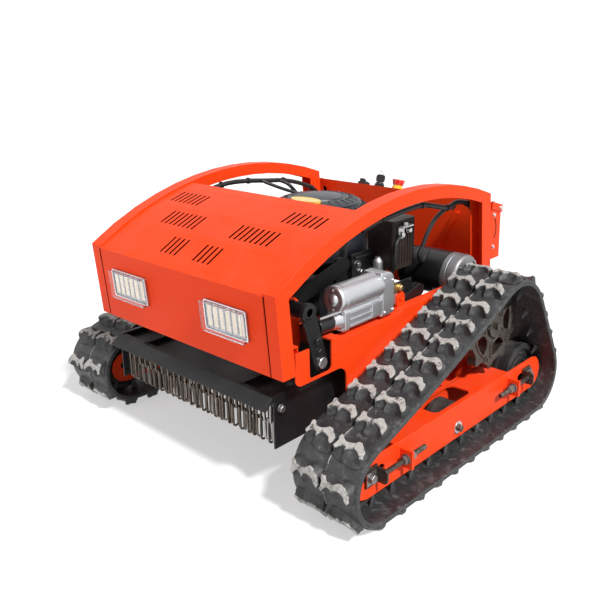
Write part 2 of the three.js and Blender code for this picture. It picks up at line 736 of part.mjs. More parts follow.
// The path's own line, on the wheels themselves, as points with their normals
function wheelPath() {
  const points = [];
  const put = (y, z, reach, direction, angle) => {
    points.push({ y: y + reach * Math.cos(direction), z: z + reach * Math.sin(direction), angle });
  };
  wheels.forEach((wheel, i) => {
    const next = wheels[(i + 1) % wheels.length];
    const before = runNormals[(i + wheels.length - 1) % wheels.length];
    const after = runNormals[i];
    const turn = THREE.MathUtils.euclideanModulo(before - after, Math.PI * 2);
    for (let k = 0; k <= pathSteps; k++) {
      const angle = before - turn * k / pathSteps;
      put(wheel.y, wheel.z, wheel.radius, angle, angle);
    }
    const run = Math.hypot(next.y - wheel.y, next.z - wheel.z);
    for (let k = 1; wheel.sag && k < pathSteps; k++) {
      const t = k / pathSteps;
      const dip = 4 * wheel.sag * t * (1 - t);
      const lean = Math.atan(4 * wheel.sag * (1 - 2 * t) / run);
      const radius = THREE.MathUtils.lerp(wheel.radius, next.radius, t) - dip;
      const y = THREE.MathUtils.lerp(wheel.y, next.y, t);
      const z = THREE.MathUtils.lerp(wheel.z, next.z, t);
      put(y, z, radius, after, after - lean);
    }
  });
  return points;
}
// Places at equal steps of length along the path
function placesAlong(path, count) {
  const lengths = path.map((p, i) => {
    const q = path[(i + 1) % path.length];
    return Math.hypot(q.y - p.y, q.z - p.z);
  });
  const total = lengths.reduce((sum, length) => sum + length, 0);
  const places = [];
  let i = 0;
  let passed = 0;
  for (let n = 0; n < count; n++) {
    const at = total * n / count;
    while (passed + lengths[i] < at) {
      passed += lengths[i];
      i++;
    }
    const p = path[i];
    const q = path[(i + 1) % path.length];
    const t = (at - passed) / lengths[i];
    const turn = THREE.MathUtils.euclideanModulo(q.angle - p.angle + Math.PI, Math.PI * 2) - Math.PI;
    places.push({
      y: THREE.MathUtils.lerp(p.y, q.y, t), z: THREE.MathUtils.lerp(p.z, q.z, t), angle: p.angle + turn * t,
    });
  }
  return places;
}
const offsetPlace = (place, offset) => [
  place.y + offset * Math.cos(place.angle), place.z + offset * Math.sin(place.angle),
];
// A closed piece with a large foot outline and a smaller top outline
function frustum(foot, top, height, sink) {
  const count = foot.length;
  const positions = [];
  foot.forEach(([a, b]) => positions.push(a, b, -sink));
  top.forEach(([a, b]) => positions.push(a, b, height));
  const index = [];
  for (let i = 0; i < count; i++) {
    const j = (i + 1) % count;
    index.push(i, j, count + j, i, count + j, count + i);
  }
  const flat = THREE.ShapeUtils.triangulateShape(foot.map(([a, b]) => new THREE.Vector2(a, b)), []);
  flat.forEach(([a, b, c]) => {
    index.push(c, b, a);
    index.push(count + a, count + b, count + c);
  });
  const geometry = new THREE.BufferGeometry();
  geometry.setAttribute('position', new THREE.BufferAttribute(new Float32Array(positions), 3));
  geometry.setIndex(index);
  return geometry;
}
// Lay a piece on the path: its own X across the track, its own Z outwards
function layOnPath(geometry, place, x) {
  const outward = new THREE.Vector3(0, Math.cos(place.angle), Math.sin(place.angle));
  const across = new THREE.Vector3(1, 0, 0);
  const forward = new THREE.Vector3().crossVectors(outward, across);
  const matrix = new THREE.Matrix4().makeBasis(across, forward, outward);
  matrix.setPosition(x, place.y, place.z);
  return geometry.clone().applyMatrix4(matrix);
}
// Tread lug: a bone across half the track, with a narrow waist
const lugSpan = trackWidth / 2 - lugInset;
const lugWaistShare = 0.42;
const lugTopShare = 0.72;
const lugTipShare = 0.25;
function boneOutline(scale) {
  const end = lugLength / 2 * scale;
  const waist = lugLength / 2 * lugWaistShare * scale;
  const tip = lugSpan / 2 * THREE.MathUtils.lerp(1, scale, lugTipShare);
  return [[-tip, -end], [0, -waist], [tip, -end], [tip, end], [0, waist], [-tip, end]];
}
const sink = beltThickness / 4;
const lug = frustum(boneOutline(1), boneOutline(lugTopShare), lugHeight, sink);
const tooth = new THREE.ConeGeometry(Math.SQRT1_2, 1, 4).rotateY(Math.PI / 4).rotateX(Math.PI / 2)
  .scale(guideThickness, guideBase, guideHeight + sink).translate(0, 0, (guideHeight - sink) / 2);
// The belt is stiff under each lug and folds between them, twice in a pitch
const path = wheelPath();
const folds = placesAlong(path, lugCount * 2);
const beltShape = polygon(folds.map((place) => offsetPlace(place, beltThickness)));
beltShape.holes.push(polygon(folds.map((place) => offsetPlace(place, 0))));
const flats = folds.map((place, i) => {
  const [y0, z0] = offsetPlace(place, beltThickness);
  const [y1, z1] = offsetPlace(folds[(i + 1) % folds.length], beltThickness);
  return { y: (y0 + y1) / 2, z: (z0 + z1) / 2, angle: Math.atan2(z1 - z0, y1 - y0) + Math.PI / 2 };
});
const innerFlats = flats.map((flat) => {
  const [y, z] = offsetPlace(flat, -beltThickness);
  return { y, z, angle: flat.angle + Math.PI };
});
const halfCentre = (trackWidth - lugInset) / 4;
const lugs = flats.map((flat, i) => layOnPath(lug, flat, trackCentreX + (i % 2 ? halfCentre : -halfCentre)));
const teeth = innerFlats.filter((flat, i) => i % 2).flatMap((flat) => [
  layOnPath(tooth, flat, trackCentreX - guideOffset), layOnPath(tooth, flat, trackCentreX + guideOffset),
]);
const track = join(
  alongX(beltShape, trackCentreX - trackWidth / 2, trackCentreX + trackWidth / 2),
  solid(mergeGeometries(lugs)),
  solid(mergeGeometries(teeth)),
);
addPair('track', track, rubber);

// Sprocket: a cast disc with windows, a thick hub and round-topped teeth
const toothTipRadius = driveRadius - beltGap;
function sprocketShape() {
  const points = [];
  const pitch = Math.PI * 2 / sprocketTeeth;
  for (let i = 0; i < sprocketTeeth; i++) {
    for (const [share, radius] of [[0.12, sprocketRootRadius], [0.3, toothTipRadius],
      [0.44, toothTipRadius], [0.62, sprocketRootRadius]]) {
      const angle = (i + share) * pitch;
      points.push([driveY + radius * Math.cos(angle), driveZ + radius * Math.sin(angle)]);
    }
  }
  const shape = polygon(points);
  for (let i = 0; i < sprocketWindows; i++) {
    const middle = i * Math.PI * 2 / sprocketWindows;
    const half = Math.PI / sprocketWindows * 0.72;
    const hole = new THREE.Path();
    hole.absarc(driveY, driveZ, windowOuter, middle - half, middle + half);
    hole.absarc(driveY, driveZ, windowInner, middle + half * 0.8, middle - half * 0.8, true);
    shape.holes.push(hole);
  }
  return shape;
}
const sprocketX0 = trackCentreX - sprocketThickness / 2;
const sprocketX1 = trackCentreX + sprocketThickness / 2;
const shaftEndX = trackCentreX + sprocketHubLength / 2;
addPair('sprocket', join(
  alongX(sprocketShape(), sprocketX0, sprocketX1, 1),
  turnedX([[trackCentreX - sprocketHubLength / 2, 0], [trackCentreX - sprocketHubLength / 2, sprocketHubRadius],
    [shaftEndX, sprocketHubRadius * 0.85], [shaftEndX, 0]], driveY, driveZ),
  rodX(driveShaftRadius, gearboxInnerX + gearboxRadius + seatGap, trackCentreX, driveY, driveZ),
  rodX(pinHeadRadius, shaftEndX - sheet, shaftEndX + pinHeadRadius, driveY, driveZ, smallSteps),
), darkIron);

// Idler and road wheel: a rubber-tyred drum with dished faces and a bore
function drum(radius, width, hub, bore, y, z) {
  const x0 = trackCentreX - width / 2;
  const x1 = trackCentreX + width / 2;
  const turned = turnedX([
    [x0, 0], [x0, hub], [x0 + idlerDish, hub + idlerDish], [x0, radius],
    [x1, radius], [x1 - idlerDish, hub + idlerDish], [x1, hub], [x1, 0],
  ], y, z, wheelSteps);
  return cut(turned, rodX(bore, x0 - cutOverrun, x1 + cutOverrun, y, z, smallSteps));
}
const boreRadius = boreFor(axleRadius);
const wheelRadius = idlerRadius - beltGap;
const roadWheelZ = lugHeight + beltThickness + roadWheelRadius;
addPair('front_idler', drum(wheelRadius, idlerWidth, idlerHubRadius, boreRadius, frontIdlerY, wheelZ), rubber);
addPair('rear_idler', drum(wheelRadius, idlerWidth, idlerHubRadius, boreRadius, rearIdlerY, wheelZ), rubber);
addPair('road_wheel', drum(roadWheelRadius - beltGap, roadWheelWidth, idlerHubRadius / 2 + axleRadius,
  boreRadius, roadWheelY, roadWheelZ), rubber);

// Track beam: a folded channel, open below, with round ends, slots in its top
// for the wheels, slots in its cheeks for the axles, two stub tubes to the
// side plate, and the tabs that the tensioner rods pass through
const beamInnerX = trackCentreX - beamHalfWidth;
const beamOuterX = trackCentreX + beamHalfWidth;
const beamEndRadius = (beamTopZ - beamBottomZ) / 2;
const beamMidZ = (beamTopZ + beamBottomZ) / 2;
function beamOutline(inset, floorDrop) {
  const shape = new THREE.Shape();
  const radius = beamEndRadius - inset;
  shape.moveTo(beamFrontY + beamEndRadius, beamBottomZ - floorDrop);
  shape.lineTo(beamRearY - beamEndRadius, beamBottomZ - floorDrop);
  shape.absarc(beamRearY - beamEndRadius, beamMidZ, radius, -Math.PI / 2, Math.PI / 2);
  shape.absarc(beamFrontY + beamEndRadius, beamMidZ, radius, Math.PI / 2, Math.PI * 1.5);
  return shape;
}
const wheelSlot = (halfWidth, y0, y1) => block(trackCentreX - halfWidth, trackCentreX + halfWidth, y0, y1,
  beamBottomZ - cutOverrun, beamTopZ + cutOverrun);
const beamClear = beamHalfWidth - beamWall;
const axleSlot = (y0, y1) => alongX(
  strap(y0 + axleSlotHeight / 2, wheelZ, y1 - axleSlotHeight / 2, wheelZ, axleSlotHeight / 2),
  beamInnerX - cutOverrun, beamOuterX + cutOverrun, 2,
);
const tabX = beamOuterX + tabReach;
const tabCentreX = beamOuterX + tabReach / 2;
const tab = (y) => cut(
  block(beamOuterX - beamWall / 2, tabX, y - tabThickness / 2, y + tabThickness / 2,
    wheelZ - tabHeight / 2, wheelZ + tabHeight / 2),
  rodY(rodRadius + runGap, y - tabThickness - sheet, y + tabThickness + sheet, tabCentreX, wheelZ, smallSteps),
);
const stub = (y) => block(archHalfWidth + seatGap, beamInnerX + beamWall / 2, y - beamStubDepth / 2,
  y + beamStubDepth / 2, beamMidZ - beamStubHeight / 2, beamMidZ + beamStubHeight / 2);
addPair('track_beam', join(
  cut(
    alongX(beamOutline(0, 0), beamInnerX, beamOuterX),
    alongX(beamOutline(beamWall, cutOverrun), beamInnerX + beamWall, beamOuterX - beamWall),
    wheelSlot(beamClear - plate * 2, beamSlotFrontY, beamSlotRearY),
    wheelSlot(beamClear, beamRearSlotY, beamRearY + cutOverrun),
    wheelSlot(beamClear, beamFrontY - cutOverrun, beamFrontSlotEndY),
    axleSlot(axleSlotFrontStart, axleSlotFrontEnd),
    axleSlot(axleSlotRearStart, axleSlotRearEnd),
  ),
  rodX(axleRadius, beamInnerX, beamOuterX + axleRadius, roadWheelY, roadWheelZ, smallSteps),
  tab(tabFrontY), tab(tabRearY), stub(beamStubFrontY), stub(beamStubRearY),
), redPaint);

// Tensioner: the idler's axle, a fork over its outer end and a threaded rod
// that runs through the tab between two nuts
function tensioner(axleY, tabY) {
  const towards = Math.sign(tabY - axleY);
  const near = axleY - towards * forkReach / 2;
  const far = axleY + towards * forkReach;
  const y0 = Math.min(near, far);
  const y1 = Math.max(near, far);
  const forkX0 = beamOuterX + seatGap;
  const forkX1 = tabCentreX + forkWidth / 2 - forkWall;
  const bottom = wheelZ - forkWidth / 2;
  const top = wheelZ + forkWidth / 2;
  const webY0 = towards > 0 ? y1 - forkWall : y0;
  const rodEnd = tabY + towards * rodStickOut;
  return join(
    rodX(axleRadius, beamInnerX - axleRadius, forkX0 + forkWall, axleY, wheelZ, smallSteps),
    block(forkX0, forkX0 + forkWall, y0, y1, wheelZ - axleSlotHeight, wheelZ + axleSlotHeight),
    block(forkX0, forkX1, webY0, webY0 + forkWall, bottom + forkWall, top - forkWall),
    rodY(rodRadius, Math.min(webY0 + forkWall / 2, rodEnd), Math.max(webY0 + forkWall / 2, rodEnd),
      tabCentreX, wheelZ, smallSteps),
  );
}
addPair('front_tensioner', tensioner(frontIdlerY, tabFrontY), darkIron);
addPair('rear_tensioner', tensioner(rearIdlerY, tabRearY), darkIron);

// Drive: gearbox behind the side plate on the sprocket's axis, with a neck up
// to the motor that lies across the machine above it
addPair('gearbox', cut(
  join(
    turnedX([[gearboxInnerX, 0], [gearboxInnerX, gearboxRadius * 0.8], [gearboxInnerX + idlerDish, gearboxRadius],
      [sideInnerX - seatGap, gearboxRadius], [sideInnerX - seatGap, 0]], driveY, driveZ),
    alongX(strap(driveY, driveZ, motorY, motorZ, gearboxRadius * 0.62), gearboxInnerX, motorCapX - seatGap),
  ),
  rodX(motorRadius + seatGap, motorInnerX, motorOuterX + cutOverrun, motorY, motorZ),
  rodX(plateBoreRadius, sideInnerX - sheet * 4, sideInnerX + cutOverrun, driveY, driveZ),
), castMetal);
addPair('drive_motor', turnedX([
  [motorInnerX, 0], [motorInnerX, motorRadius - sheet], [motorInnerX + sheet, motorRadius],
  [motorInnerX + sheet * 3, motorRadius], [motorInnerX + sheet * 4, motorRadius - sheet],
  [motorCapX, motorRadius - sheet], [motorCapX, motorRadius], [motorOuterX - idlerDish, motorRadius],
  [motorOuterX, motorRadius - idlerDish], [motorOuterX, 0],
], motorY, motorZ), darkIron);

// Lift shaft: a cross tube with two arms that carry the deck and, at each end,
// a lever with the pins of the actuator and the tie rod
const armEndY = liftY + armLength * Math.cos(armAngle);
const armEndZ = liftZ + armLength * Math.sin(armAngle);
const leverPinY = liftY + leverDropY;
const leverPinZ = liftZ + leverDropZ;
const actuatorPinY = liftY + actuatorPinDropY;
const actuatorPinZ = liftZ + actuatorPinDropZ;
const armX0 = armX - barPlate / 2;
const armX1 = armX + barPlate / 2;
const hangerX0 = hangerX - barPlate / 2;
const hangerX1 = hangerX + barPlate / 2;
const arm = join(
  cut(alongX(strap(liftY, liftZ, armEndY, armEndZ, leverHalfWidth * 0.9), armX0, armX1),
    rodX(pinRadius, armX0 - cutOverrun, armX1 + cutOverrun, armEndY, armEndZ, smallSteps)),
  rodX(pinRadius, hangerX0 - barPlate, armX1, armEndY, armEndZ, smallSteps),
  rodX(pinHeadRadius, hangerX0 - barPlate, hangerX0 - seatGap, armEndY, armEndZ, smallSteps),
);
const leverX0 = leverX - barPlate / 2;
const leverX1 = leverX + barPlate / 2;
add('lift_shaft', join(
  rodX(liftTubeRadius, -leverX0, leverX0, liftY, liftZ),
  arm, mirrorX(arm),
), blackPaint);
const tieX0 = tieX - barPlate / 2;
const tieX1 = tieX + barPlate / 2;
const lever = join(
  alongX(strap(liftY, liftZ, leverPinY, leverPinZ, leverHalfWidth), leverX0 + seatGap, leverX1),
  rodX(liftBossRadius, leverX0 + seatGap, leverX1 + barPlate / 2, liftY, liftZ),
  rodX(pinRadius, tieX0 - sheet, leverX1 + sheet, leverPinY, leverPinZ, smallSteps),
  rodX(pinHeadRadius, leverX1, leverX1 + barPlate, leverPinY, leverPinZ, smallSteps),
);
// The left lever holds the actuator's pin, which has some play in the rod's eye
add('lift_lever_left', join(
  lever,
  rodX(eyePinRadius, actuatorX - rodEyeHalfWidth - sheet, leverX0 + sheet, actuatorPinY, actuatorPinZ, smallSteps),
), blackPaint);
add('lift_lever_right', mirrorX(lever), blackPaint);

// Rear crank: a bell crank on the side plate's stub, one arm to the deck, one
// down to the tie rod
const crankArmY = armEndY + crankShiftY;
const crankArmZ = armEndZ + crankShiftZ;
const crankPinY = leverPinY + crankShiftY;
const crankPinZ = leverPinZ + crankShiftZ;
const crankX0 = crankX - barPlate / 2;
const crankX1 = crankX + barPlate / 2;
const crankHalfWidth = leverHalfWidth * 0.8;
const deckPinX = deckHalfWidth - barPlate * 1.5;
addPair('rear_crank', join(
  cut(
    join(
      alongX(strap(crankY, crankZ, crankArmY, crankArmZ, crankHalfWidth), crankX0, crankX1),
      alongX(strap(crankY, crankZ, crankPinY, crankPinZ, crankHalfWidth), crankX0, crankX1),
      rodX(liftBossRadius, crankX0, crankX1 + barPlate, crankY, crankZ),
    ),
    rodX(boreFor(pinRadius), crankX0 - cutOverrun, crankX1 + cutOverrun, crankY, crankZ, smallSteps),
  ),
  rodX(pinRadius, crankX0 + sheet, tieX + barPlate / 2 + sheet, crankPinY, crankPinZ, smallSteps),
  rodX(pinRadius, deckPinX, crankX0 + sheet, crankArmY, crankArmZ, smallSteps),
), blackPaint);
addPair('tie_rod', cut(
  alongX(strap(leverPinY, leverPinZ, crankPinY, crankPinZ, tieHalfHeight + sheet), tieX0, tieX1),
  rodX(boreFor(pinRadius), tieX0 - cutOverrun, tieX1 + cutOverrun, leverPinY, leverPinZ, smallSteps),
  rodX(boreFor(pinRadius), tieX0 - cutOverrun, tieX1 + cutOverrun, crankPinY, crankPinZ, smallSteps),
), blackPaint);

// Actuator: a rod tube with the motor above it, both in one gear housing, held
// by a clevis behind; the rod ends in an eye at the lever's pin
const rodAngle = Math.atan2(clevisZ - actuatorPinZ, clevisY - actuatorPinY);
function onRodAxis(manifold) {
  return manifold.rotate([rodAngle * 180 / Math.PI, 0, 0]).translate([actuatorX, clevisY, clevisZ]);
}
const housingRear = -rodEyeRadius - sheet;
const housingFront = housingRear - actuatorHousingDepth;
const noseAt = actuatorNoseY - clevisY;
const motorFront = housingFront - actuatorMotorLength;
const rodBore = actuatorRodRadius + runGap;
add('actuator_body', onRodAxis(join(
  cut(
    join(
      alongY(roundedBox(actuatorHousingHalfWidth * 2, actuatorHousingHalfWidth * 2 + actuatorMotorRise,
        actuatorHousingHalfWidth * 0.6), housingFront, housingRear).translate([0, 0, actuatorMotorRise / 2]),
      rodY(actuatorTubeRadius, noseAt, housingFront + sheet, 0, 0),
    ),
    rodY(rodBore, noseAt - cutOverrun, housingFront + sheet, 0, 0),
  ),
  rodY(actuatorMotorRadius, motorFront, housingFront + sheet, 0, actuatorMotorRise),
  rodY(actuatorMotorRadius * 0.45, motorFront - sheet * 2, motorFront + sheet, 0, actuatorMotorRise),
  cut(
    block(-rodEyeHalfWidth, rodEyeHalfWidth, housingRear - sheet, rodEyeRadius, -rodEyeRadius, rodEyeRadius),
    rodX(pinRadius + seatGap, -cutOverrun, cutOverrun, 0, 0, smallSteps),
  ),
)), castMetal);
const pinToClevis = Math.hypot(clevisY - actuatorPinY, clevisZ - actuatorPinZ);
const rodTail = housingFront - runGap;
add('actuator_rod', onRodAxis(join(
  rodY(actuatorRodRadius, -pinToClevis + rodEyeRadius * 1.5, rodTail, 0, 0),
  cut(
    block(-rodEyeHalfWidth, rodEyeHalfWidth, -pinToClevis - rodEyeRadius, -pinToClevis + rodEyeRadius * 2,
      -rodEyeRadius, rodEyeRadius),
    rodX(eyePinRadius + eyePlay, -cutOverrun, cutOverrun, -pinToClevis, 0, roundSteps),
  ),
)), blackPaint);

// Cutter deck: top and skirt in one, straight in front and round behind, open
// below and in front, with a sloping apron, ribs, hangers and hang points
function deckOutline(inset, frontInset) {
  const shape = new THREE.Shape();
  const half = deckHalfWidth - inset;
  shape.moveTo(-half, deckFrontY + frontInset);
  shape.lineTo(half, deckFrontY + frontInset);
  shape.absarc(0, deckCentreY, half, 0, Math.PI);
  return shape;
}
const apronFoldY = deckFrontY + apronSheet;
const apronShape = polygon([
  [apronBottomY, apronBottomZ], [apronTopY, apronTopZ], [apronFoldY + deckSheet, apronTopZ],
  [apronFoldY + deckSheet, deckTopZ - deckSheet], [apronFoldY, deckTopZ - deckSheet],
  [apronTopY + apronSheet / 2, apronTopZ - apronSheet], [apronBottomY + apronSheet, apronBottomZ],
].reverse());
const hanger = join(
  alongX(polygon([
    [armEndY - leverHalfWidth * 2, deckTopZ - deckSheet], [armEndY + leverHalfWidth * 2, deckTopZ - deckSheet],
    [armEndY + leverHalfWidth * 0.8, armEndZ], [armEndY - leverHalfWidth * 0.8, armEndZ],
  ]), hangerX0, hangerX1),
  rodX(leverHalfWidth * 0.8, hangerX0, hangerX1, armEndY, armEndZ, roundSteps),
);
const rearHanger = join(
  alongX(polygon([
    [deckCentreY - leverHalfWidth * 4, deckTopZ - deckSheet], [deckCentreY, deckTopZ - deckSheet],
    [crankArmY + leverHalfWidth * 0.7, crankArmZ - leverHalfWidth * 0.4],
    [crankArmY - leverHalfWidth * 0.7, crankArmZ + leverHalfWidth * 0.4],
  ]), deckHalfWidth - barPlate, deckHalfWidth - seatGap),
  rodX(leverHalfWidth * 0.8, deckHalfWidth - barPlate, deckHalfWidth - seatGap, crankArmY, crankArmZ,
    roundSteps),
);
const hangBore = boreFor(pinRadius);
const rib = block(deckRibX, deckRibX + deckRibWidth, deckFrontY + apronSheet, armEndY,
  deckTopZ - sheet, deckTopZ + deckRibHeight);
const sideRib = block(deckHalfWidth - deckRibWidth, deckHalfWidth, deckFrontY + apronSheet, deckCentreY,
  deckTopZ - sheet, deckTopZ + deckRibHeight);
const curtainBore = rodX(boreFor(curtainRodRadius), -deckHalfWidth - cutOverrun, deckHalfWidth + cutOverrun,
  curtainY, curtainZ, smallSteps);
add('cutter_deck', cut(
  join(
    cut(
      alongZ(deckOutline(0, 0), deckBottomZ, deckTopZ, deckSteps),
      alongZ(deckOutline(deckSheet, -cutOverrun), deckBottomZ - cutOverrun, deckTopZ - deckSheet, deckSteps),
    ),
    alongX(apronShape, -deckHalfWidth, deckHalfWidth),
    hanger, mirrorX(hanger), rearHanger, mirrorX(rearHanger), rib, mirrorX(rib), sideRib, mirrorX(sideRib),
  ),
  rodX(hangBore, -hangerX1 - sheet, hangerX1 + sheet, armEndY, armEndZ, smallSteps),
  rodX(hangBore, -deckHalfWidth - cutOverrun, deckHalfWidth + cutOverrun, crankArmY, crankArmZ, smallSteps),
  rodZ(spindleBoreRadius, deckTopZ - cutOverrun, deckTopZ + cutOverrun, 0, deckCentreY),
  curtainBore,
), blackPaint);

// Chain curtain: a rod through the deck's sides with chains of long links
const chainRodEnd = deckHalfWidth + sheet * 3;
const linkHeight = chainLength / chainLinks + chainWire;
const chainTop = curtainRodRadius + chainWire - chainTouch;
function chainLink(topZ, turned) {
  const half = chainWidth / 2;
  const window = half - chainWire;
  const windowTop = -chainWire;
  const windowBottom = chainWire - linkHeight;
  const outer = [[-half, 0], [half, 0], [half, -linkHeight], [-half, -linkHeight]];
  const inner = [[window, windowTop], [window, windowBottom], [-window, windowBottom], [-window, windowTop]];
  const shape = polygon(outer);
  shape.holes.push(polygon(inner));
  const link = alongY(shape, -chainWire / 2, chainWire / 2);
  return (turned ? link.rotate([0, 0, 90]) : link).translate([0, 0, topZ]);
}
function chain() {
  const links = [];
  for (let i = 0; i < chainLinks; i++) {
    links.push(chainLink(chainTop - i * (linkHeight - chainWire * 2 + chainTouch), i % 2 === 0));
  }
  return join(...links);
}
const oneChain = chain();
const chainCount = Math.floor((deckHalfWidth - deckSheet - chainWidth) * 2 / chainPitch) + 1;
const chains = [];
for (let i = 0; i < chainCount; i++) {
  chains.push(oneChain.translate([(i - (chainCount - 1) / 2) * chainPitch, curtainY, curtainZ]));
}
const rodHead = rodX(curtainRodRadius * 1.6, deckHalfWidth + seatGap, chainRodEnd, curtainY, curtainZ, 6);
add('chain_curtain', join(
  rodX(curtainRodRadius, -chainRodEnd, chainRodEnd, curtainY, curtainZ, smallSteps),
  rodHead, mirrorX(rodHead), ...chains,
), zinc);

// Blade: a long bar with cut corners and raised wings on the engine's shaft
const bladeHalf = bladeLength / 2;
const bladeShape = polygon([
  [-bladeHalf, -bladeWidth / 2], [bladeHalf * 0.62, -bladeWidth / 2], [bladeHalf * 0.7, -bladeWidth * 0.36],
  [bladeHalf, -bladeWidth * 0.3], [bladeHalf, bladeWidth / 2], [-bladeHalf * 0.62, bladeWidth / 2],
  [-bladeHalf * 0.7, bladeWidth * 0.36], [-bladeHalf, bladeWidth * 0.3],
]);
const wing = (side) => block(-bladeWidth / 2, bladeWidth / 2, 0, bladeThickness, 0, bladeThickness * 3)
  .translate([side * (bladeHalf - bladeWidth / 2), side * bladeWidth / 2 - (side > 0 ? bladeThickness : 0), 0]);
const engineBaseZ = deckTopZ + seatGap;
add('blade', join(
  alongZ(bladeShape, 0, bladeThickness), wing(1), wing(-1),
  rodZ(bladeHubRadius, 0, bladeThickness * 4, 0, 0),
  rodZ(spindleRadius, 0, engineBaseZ - bladeZ - seatGap * 2, 0, 0, smallSteps),
).translate([0, deckCentreY, bladeZ]), darkIron);

// Engine: crankcase on its mounting ring, two finned cylinders, and the parts
// that show: cowl, muffler in its slotted guard, air box, tank
const crankcase = turnedZ([
  [0, engineBaseZ], [engineBaseRadius, engineBaseZ], [engineBaseRadius, engineBaseZ + engineBaseHeight],
  [crankcaseRadius * 0.8, engineBaseZ + engineBaseHeight], [crankcaseRadius, engineBaseZ + engineBaseHeight * 4],
  [crankcaseRadius, crankcaseTopZ - engineBaseHeight], [crankcaseRadius * 0.85, crankcaseTopZ],
  [crankcaseRadius * 0.6, crankcaseTopZ], [crankcaseRadius * 0.6, cowlBottomZ - seatGap],
  [0, cowlBottomZ - seatGap],
], 0, deckCentreY);
const cylinderAngle = 40;
function cylinder(sign) {
  const finSpace = (cylinderReach - crankcaseRadius) / (finCount + 1);
  const tools = [];
  for (let i = 0; i < finCount; i++) {
    const at = crankcaseRadius + finSpace * (i + 0.6);
    for (const edge of [-1, 1]) {
      const x0 = edge > 0 ? cylinderHalfWidth - finDepth : -cylinderHalfWidth - cutOverrun;
      tools.push(block(x0, x0 + finDepth + cutOverrun, at, at + finSpace / 2,
        cylinderBottomZ - cutOverrun, cylinderTopZ + cutOverrun));
    }
  }
  return cut(
    block(-cylinderHalfWidth, cylinderHalfWidth, crankcaseRadius / 2, cylinderReach, cylinderBottomZ, cylinderTopZ),
    ...tools,
  ).rotate([0, 0, 180 + sign * cylinderAngle]).translate([0, deckCentreY, 0]);
}
add('engine_block', join(crankcase, cylinder(1), cylinder(-1)), castMetal);
add('engine_cowl', turnedZ([
  [0, cowlBottomZ], [cowlRadius * 0.94, cowlBottomZ], [cowlRadius, cowlBottomZ + barPlate],
  [cowlRadius, cowlTopZ - cowlRadius * 0.4], [cowlRadius * 0.95, cowlTopZ - cowlRadius * 0.26],
  [cowlRadius * 0.85, cowlTopZ - cowlRadius * 0.13], [cowlRadius * 0.6, cowlTopZ - cowlWall],
  [cowlRadius * 0.3, cowlTopZ], [0, cowlTopZ],
], 0, deckCentreY, wheelSteps), blackPlastic);
const guardSlotPitch = (mufflerRearY - mufflerFrontY) / (guardSlotCount + 1);
const guardSlots = [];
for (let i = 1; i <= guardSlotCount; i++) {
  const y = mufflerFrontY + i * guardSlotPitch;
  guardSlots.push(block(mufflerMaxX - sheet * 2, mufflerMaxX + cutOverrun, y - sheet / 2, y + sheet / 2,
    mufflerBottomZ + sheet * 4, mufflerTopZ - sheet * 4));
}
add('muffler', join(
  cut(
    alongZ(roundedBox(mufflerMaxX - mufflerMinX, mufflerRearY - mufflerFrontY, sheet * 3)
      , mufflerBottomZ, mufflerTopZ).translate([(mufflerMinX + mufflerMaxX) / 2,
      (mufflerFrontY + mufflerRearY) / 2, 0]),
    ...guardSlots,
  ),
  block(mufflerMinX, mufflerMinX + barPlate, mufflerFrontY + barPlate, mufflerRearY - barPlate * 3,
    deckTopZ + seatGap, mufflerBottomZ + sheet),
), darkIron);
const airBoxX = -cowlRadius - airBoxDepth / 2 - seatGap;
add('air_cleaner', join(
  alongZ(roundedBox(airBoxDepth, airBoxLength, sheet * 4), cowlBottomZ - sheet * 4, cowlBottomZ + airBoxHeight)
    .translate([airBoxX, deckCentreY, 0]),
  rodZ(spindleRadius, deckTopZ + seatGap, cowlBottomZ, airBoxX, deckCentreY),
), blackPlastic);

// Wiring looms: ribbed sleeves clipped under the arches, one on each side
function loomRoute(points, radius) {
  const curve = new THREE.CatmullRomCurve3(points.map(([x, y, z]) => new THREE.Vector3(x, y, z)));
  const shape = new THREE.Shape();
  shape.absarc(0, 0, radius, 0, Math.PI * 2);
  const steps = Math.round(curve.getLength() / (radius * 6));
  return solid(new THREE.ExtrudeGeometry(shape, { steps, extrudePath: curve, curveSegments: 4, bevelEnabled: false }));
}
const loomX = archInnerX - loomRadius - seatGap;
const leftLoom = [
  [loomX, 330, 580], [loomX, 407, 592], [loomX, 508, 600], [loomX, 572, 601], [loomX, 627, 590],
  [loomX, 689, 576], [loomX, 737, 583], [loomX, 788, 572], [loomX, 816, 547], [loomX, 829, 516],
  [loomX, 832, 480], [loomX, 833, 440],
];
const rightLoom = [
  [-loomX, 330, 600], [-loomX, 406, 612], [-loomX, 452, 614], [-loomX, 511, 610], [-loomX, 594, 600],
  [-loomX, 659, 592], [-loomX, 726, 575], [-loomX, 787, 550], [-loomX, 822, 520], [-loomX, 832, 480],
  [-loomX, 833, 440],
];
add('wiring_loom_left', loomRoute(leftLoom, loomRadius), blackPlastic);
add('wiring_loom_right', loomRoute(rightLoom, loomRadius), blackPlastic);

// The machine stands on zero, centred over the middle of its overall box
const overall = new THREE.Box3().setFromObject(machine);
machine.position.y = -(overall.min.y + overall.max.y) / 2;
machine.updateMatrixWorld(true);

export default machine;
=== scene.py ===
"""Finishes and fine pieces of a remote-controlled slope mower on two rubber tracks.

Places are written in the machine's own millimetres: X across it from its middle plane,
Y rearwards from the top edge of the front panel, Z up from the ground. spot() turns
them into metres in the model's frame. The lit side of the machine, its left, is +X.
"""

import json
import math
import random

import bmesh
import bpy
from mathutils import Matrix, Vector
from mathutils.bvhtree import BVHTree


